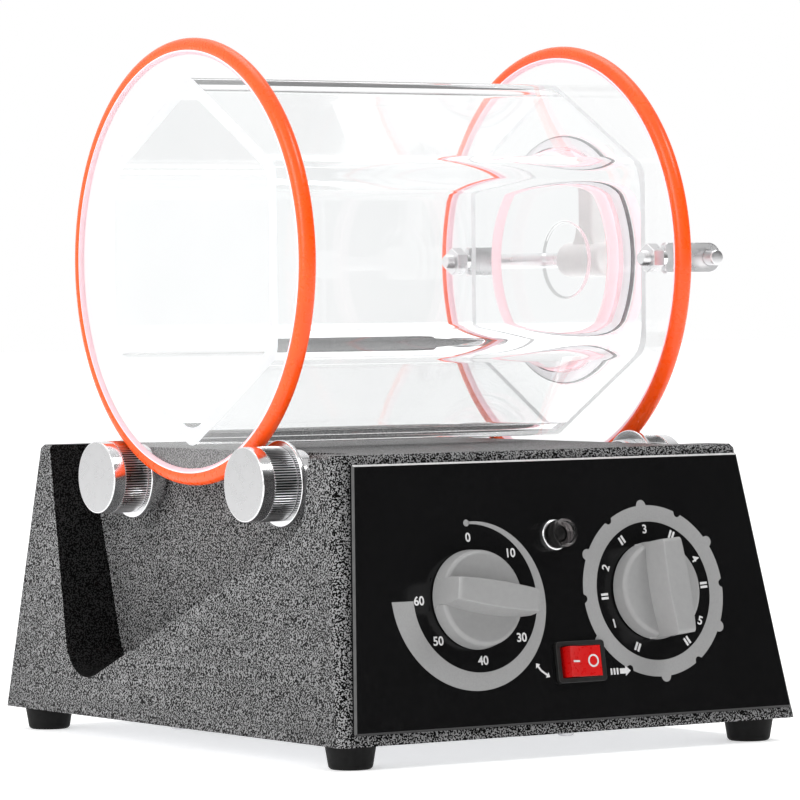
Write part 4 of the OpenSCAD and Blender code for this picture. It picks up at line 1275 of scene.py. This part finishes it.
def build_camera():
    """Long lens, a little to the left of the controls and just above the base."""
    yaw = math.radians(33.71)
    pitch = math.radians(1.219)
    roll = math.radians(-0.553)
    sight = Vector((math.sin(yaw) * math.cos(pitch), math.cos(yaw) * math.cos(pitch), -math.sin(pitch)))
    level = Vector((math.cos(yaw), -math.sin(yaw), 0))
    above = level.cross(sight)
    right = level * math.cos(roll) + above * math.sin(roll)
    top = above * math.cos(roll) - level * math.sin(roll)
    data = bpy.data.cameras.new("camera")
    data.sensor_width = 36
    data.lens = 223
    data.clip_end = 50
    camera = bpy.data.objects.new("camera", data)
    camera.matrix_world = basis(Vector((-1.0725, -1.6055, 0.1718)), right, top, -sight)
    bpy.context.scene.collection.objects.link(camera)
    bpy.context.scene.camera = camera


def soft_light(name, place, target, width, height, power):
    data = bpy.data.lights.new(name, "AREA")
    data.shape = "RECTANGLE"
    data.size = width
    data.size_y = height
    data.energy = power
    light = bpy.data.objects.new(name, data)
    light.location = place
    light.rotation_euler = (Vector(target) - Vector(place)).to_track_quat("-Z", "Y").to_euler()
    light.visible_camera = False
    bpy.context.scene.collection.objects.link(light)


def build_stage():
    """Pale floor, a white room that is dimmer behind the camera, and three soft lights."""
    reach = 12.0
    mesh = bpy.data.meshes.new("floor")
    mesh.from_pydata([(-reach, -reach, 0), (reach, -reach, 0), (reach, reach, 0), (-reach, reach, 0)], [],
                     [(0, 1, 2, 3)])
    floor = link("floor", mesh)
    shader = Shader("floor_paper")
    shader.tint(shader.noise(0.6, 2), (0.86, 0.86, 0.86), (0.88, 0.88, 0.88))
    shader.surface.inputs["Roughness"].default_value = 0.9
    shader.surface.inputs["Emission Color"].default_value = (1, 1, 1, 1)
    shader.surface.inputs["Emission Strength"].default_value = 0.45
    floor.data.materials.append(shader.material)

    world = bpy.data.worlds.new("room")
    world.use_nodes = True
    tree = world.node_tree
    nodes = tree.nodes
    background = nodes["Background"]
    where = nodes.new("ShaderNodeTexCoord").outputs["Generated"]
    depth = nodes.new("ShaderNodeVectorMath")
    depth.operation = "DOT_PRODUCT"
    depth.inputs[1].default_value = (-0.6, 0.74, 0.3)
    tree.links.new(where, depth.inputs[0])
    ramp = nodes.new("ShaderNodeMapRange")
    ramp.inputs["From Min"].default_value = -0.75
    ramp.inputs["From Max"].default_value = 0.3
    ramp.inputs["To Min"].default_value = 0.05
    ramp.inputs["To Max"].default_value = 1.0
    tree.links.new(depth.outputs["Value"], ramp.inputs["Value"])
    seen = nodes.new("ShaderNodeLightPath").outputs["Is Camera Ray"]
    level = nodes.new("ShaderNodeMath")
    level.operation = "MAXIMUM"
    tree.links.new(ramp.outputs["Result"], level.inputs[0])
    tree.links.new(seen, level.inputs[1])
    tree.links.new(level.outputs["Value"], background.inputs["Strength"])
    background.inputs["Color"].default_value = (1, 1, 1, 1)
    bpy.context.scene.world = world

    target = (0, 0, 0.1)
    soft_light("key", (-2.4, -0.2, 1.0), target, 1.2, 1.4, 22)
    soft_light("fill", (1.0, -1.6, 2.4), target, 1.0, 0.8, 26)
    soft_light("top", (0.2, 0.7, 2.2), target, 1.4, 1.4, 12)
    bpy.context.scene.view_settings.view_transform = "Standard"


# ---- Everything --------------------------------------------------------------

build_camera()
build_stage()
build_housing()
panel_front = build_panel()
build_base_plate()
build_feet()
build_underside_screws()
timer_pointer = JOINTS["timer_turn"]["range_deg"][1]
speed_pointer = 176    # degrees clockwise from straight up
build_knob("timer_knob", timer_at, timer_pointer, panel_front + 0.6 * MM)
build_knob("speed_knob", speed_at, speed_pointer, panel_front + 0.6 * MM)
build_lamp(panel_front)
build_switch()
build_timer_scale(panel_front)
build_speed_ring(panel_front)
build_numbers(panel_front)
build_arrows(panel_front)
for wheel_node in ("drive_wheel_left", "drive_wheel_right", "idler_wheel_left", "idler_wheel_right"):
    build_wheel(wheel_node)
build_barrel()
build_flange("left_flange", "left_tyre")
build_flange("right_flange", "right_tyre", 41.5 * MM)
build_tyre("left_tyre")
build_tyre("right_tyre")
build_lid()
build_links()
build_rod()
build_lever()
build_inlet()
build_inside()
finish_cad_nodes()
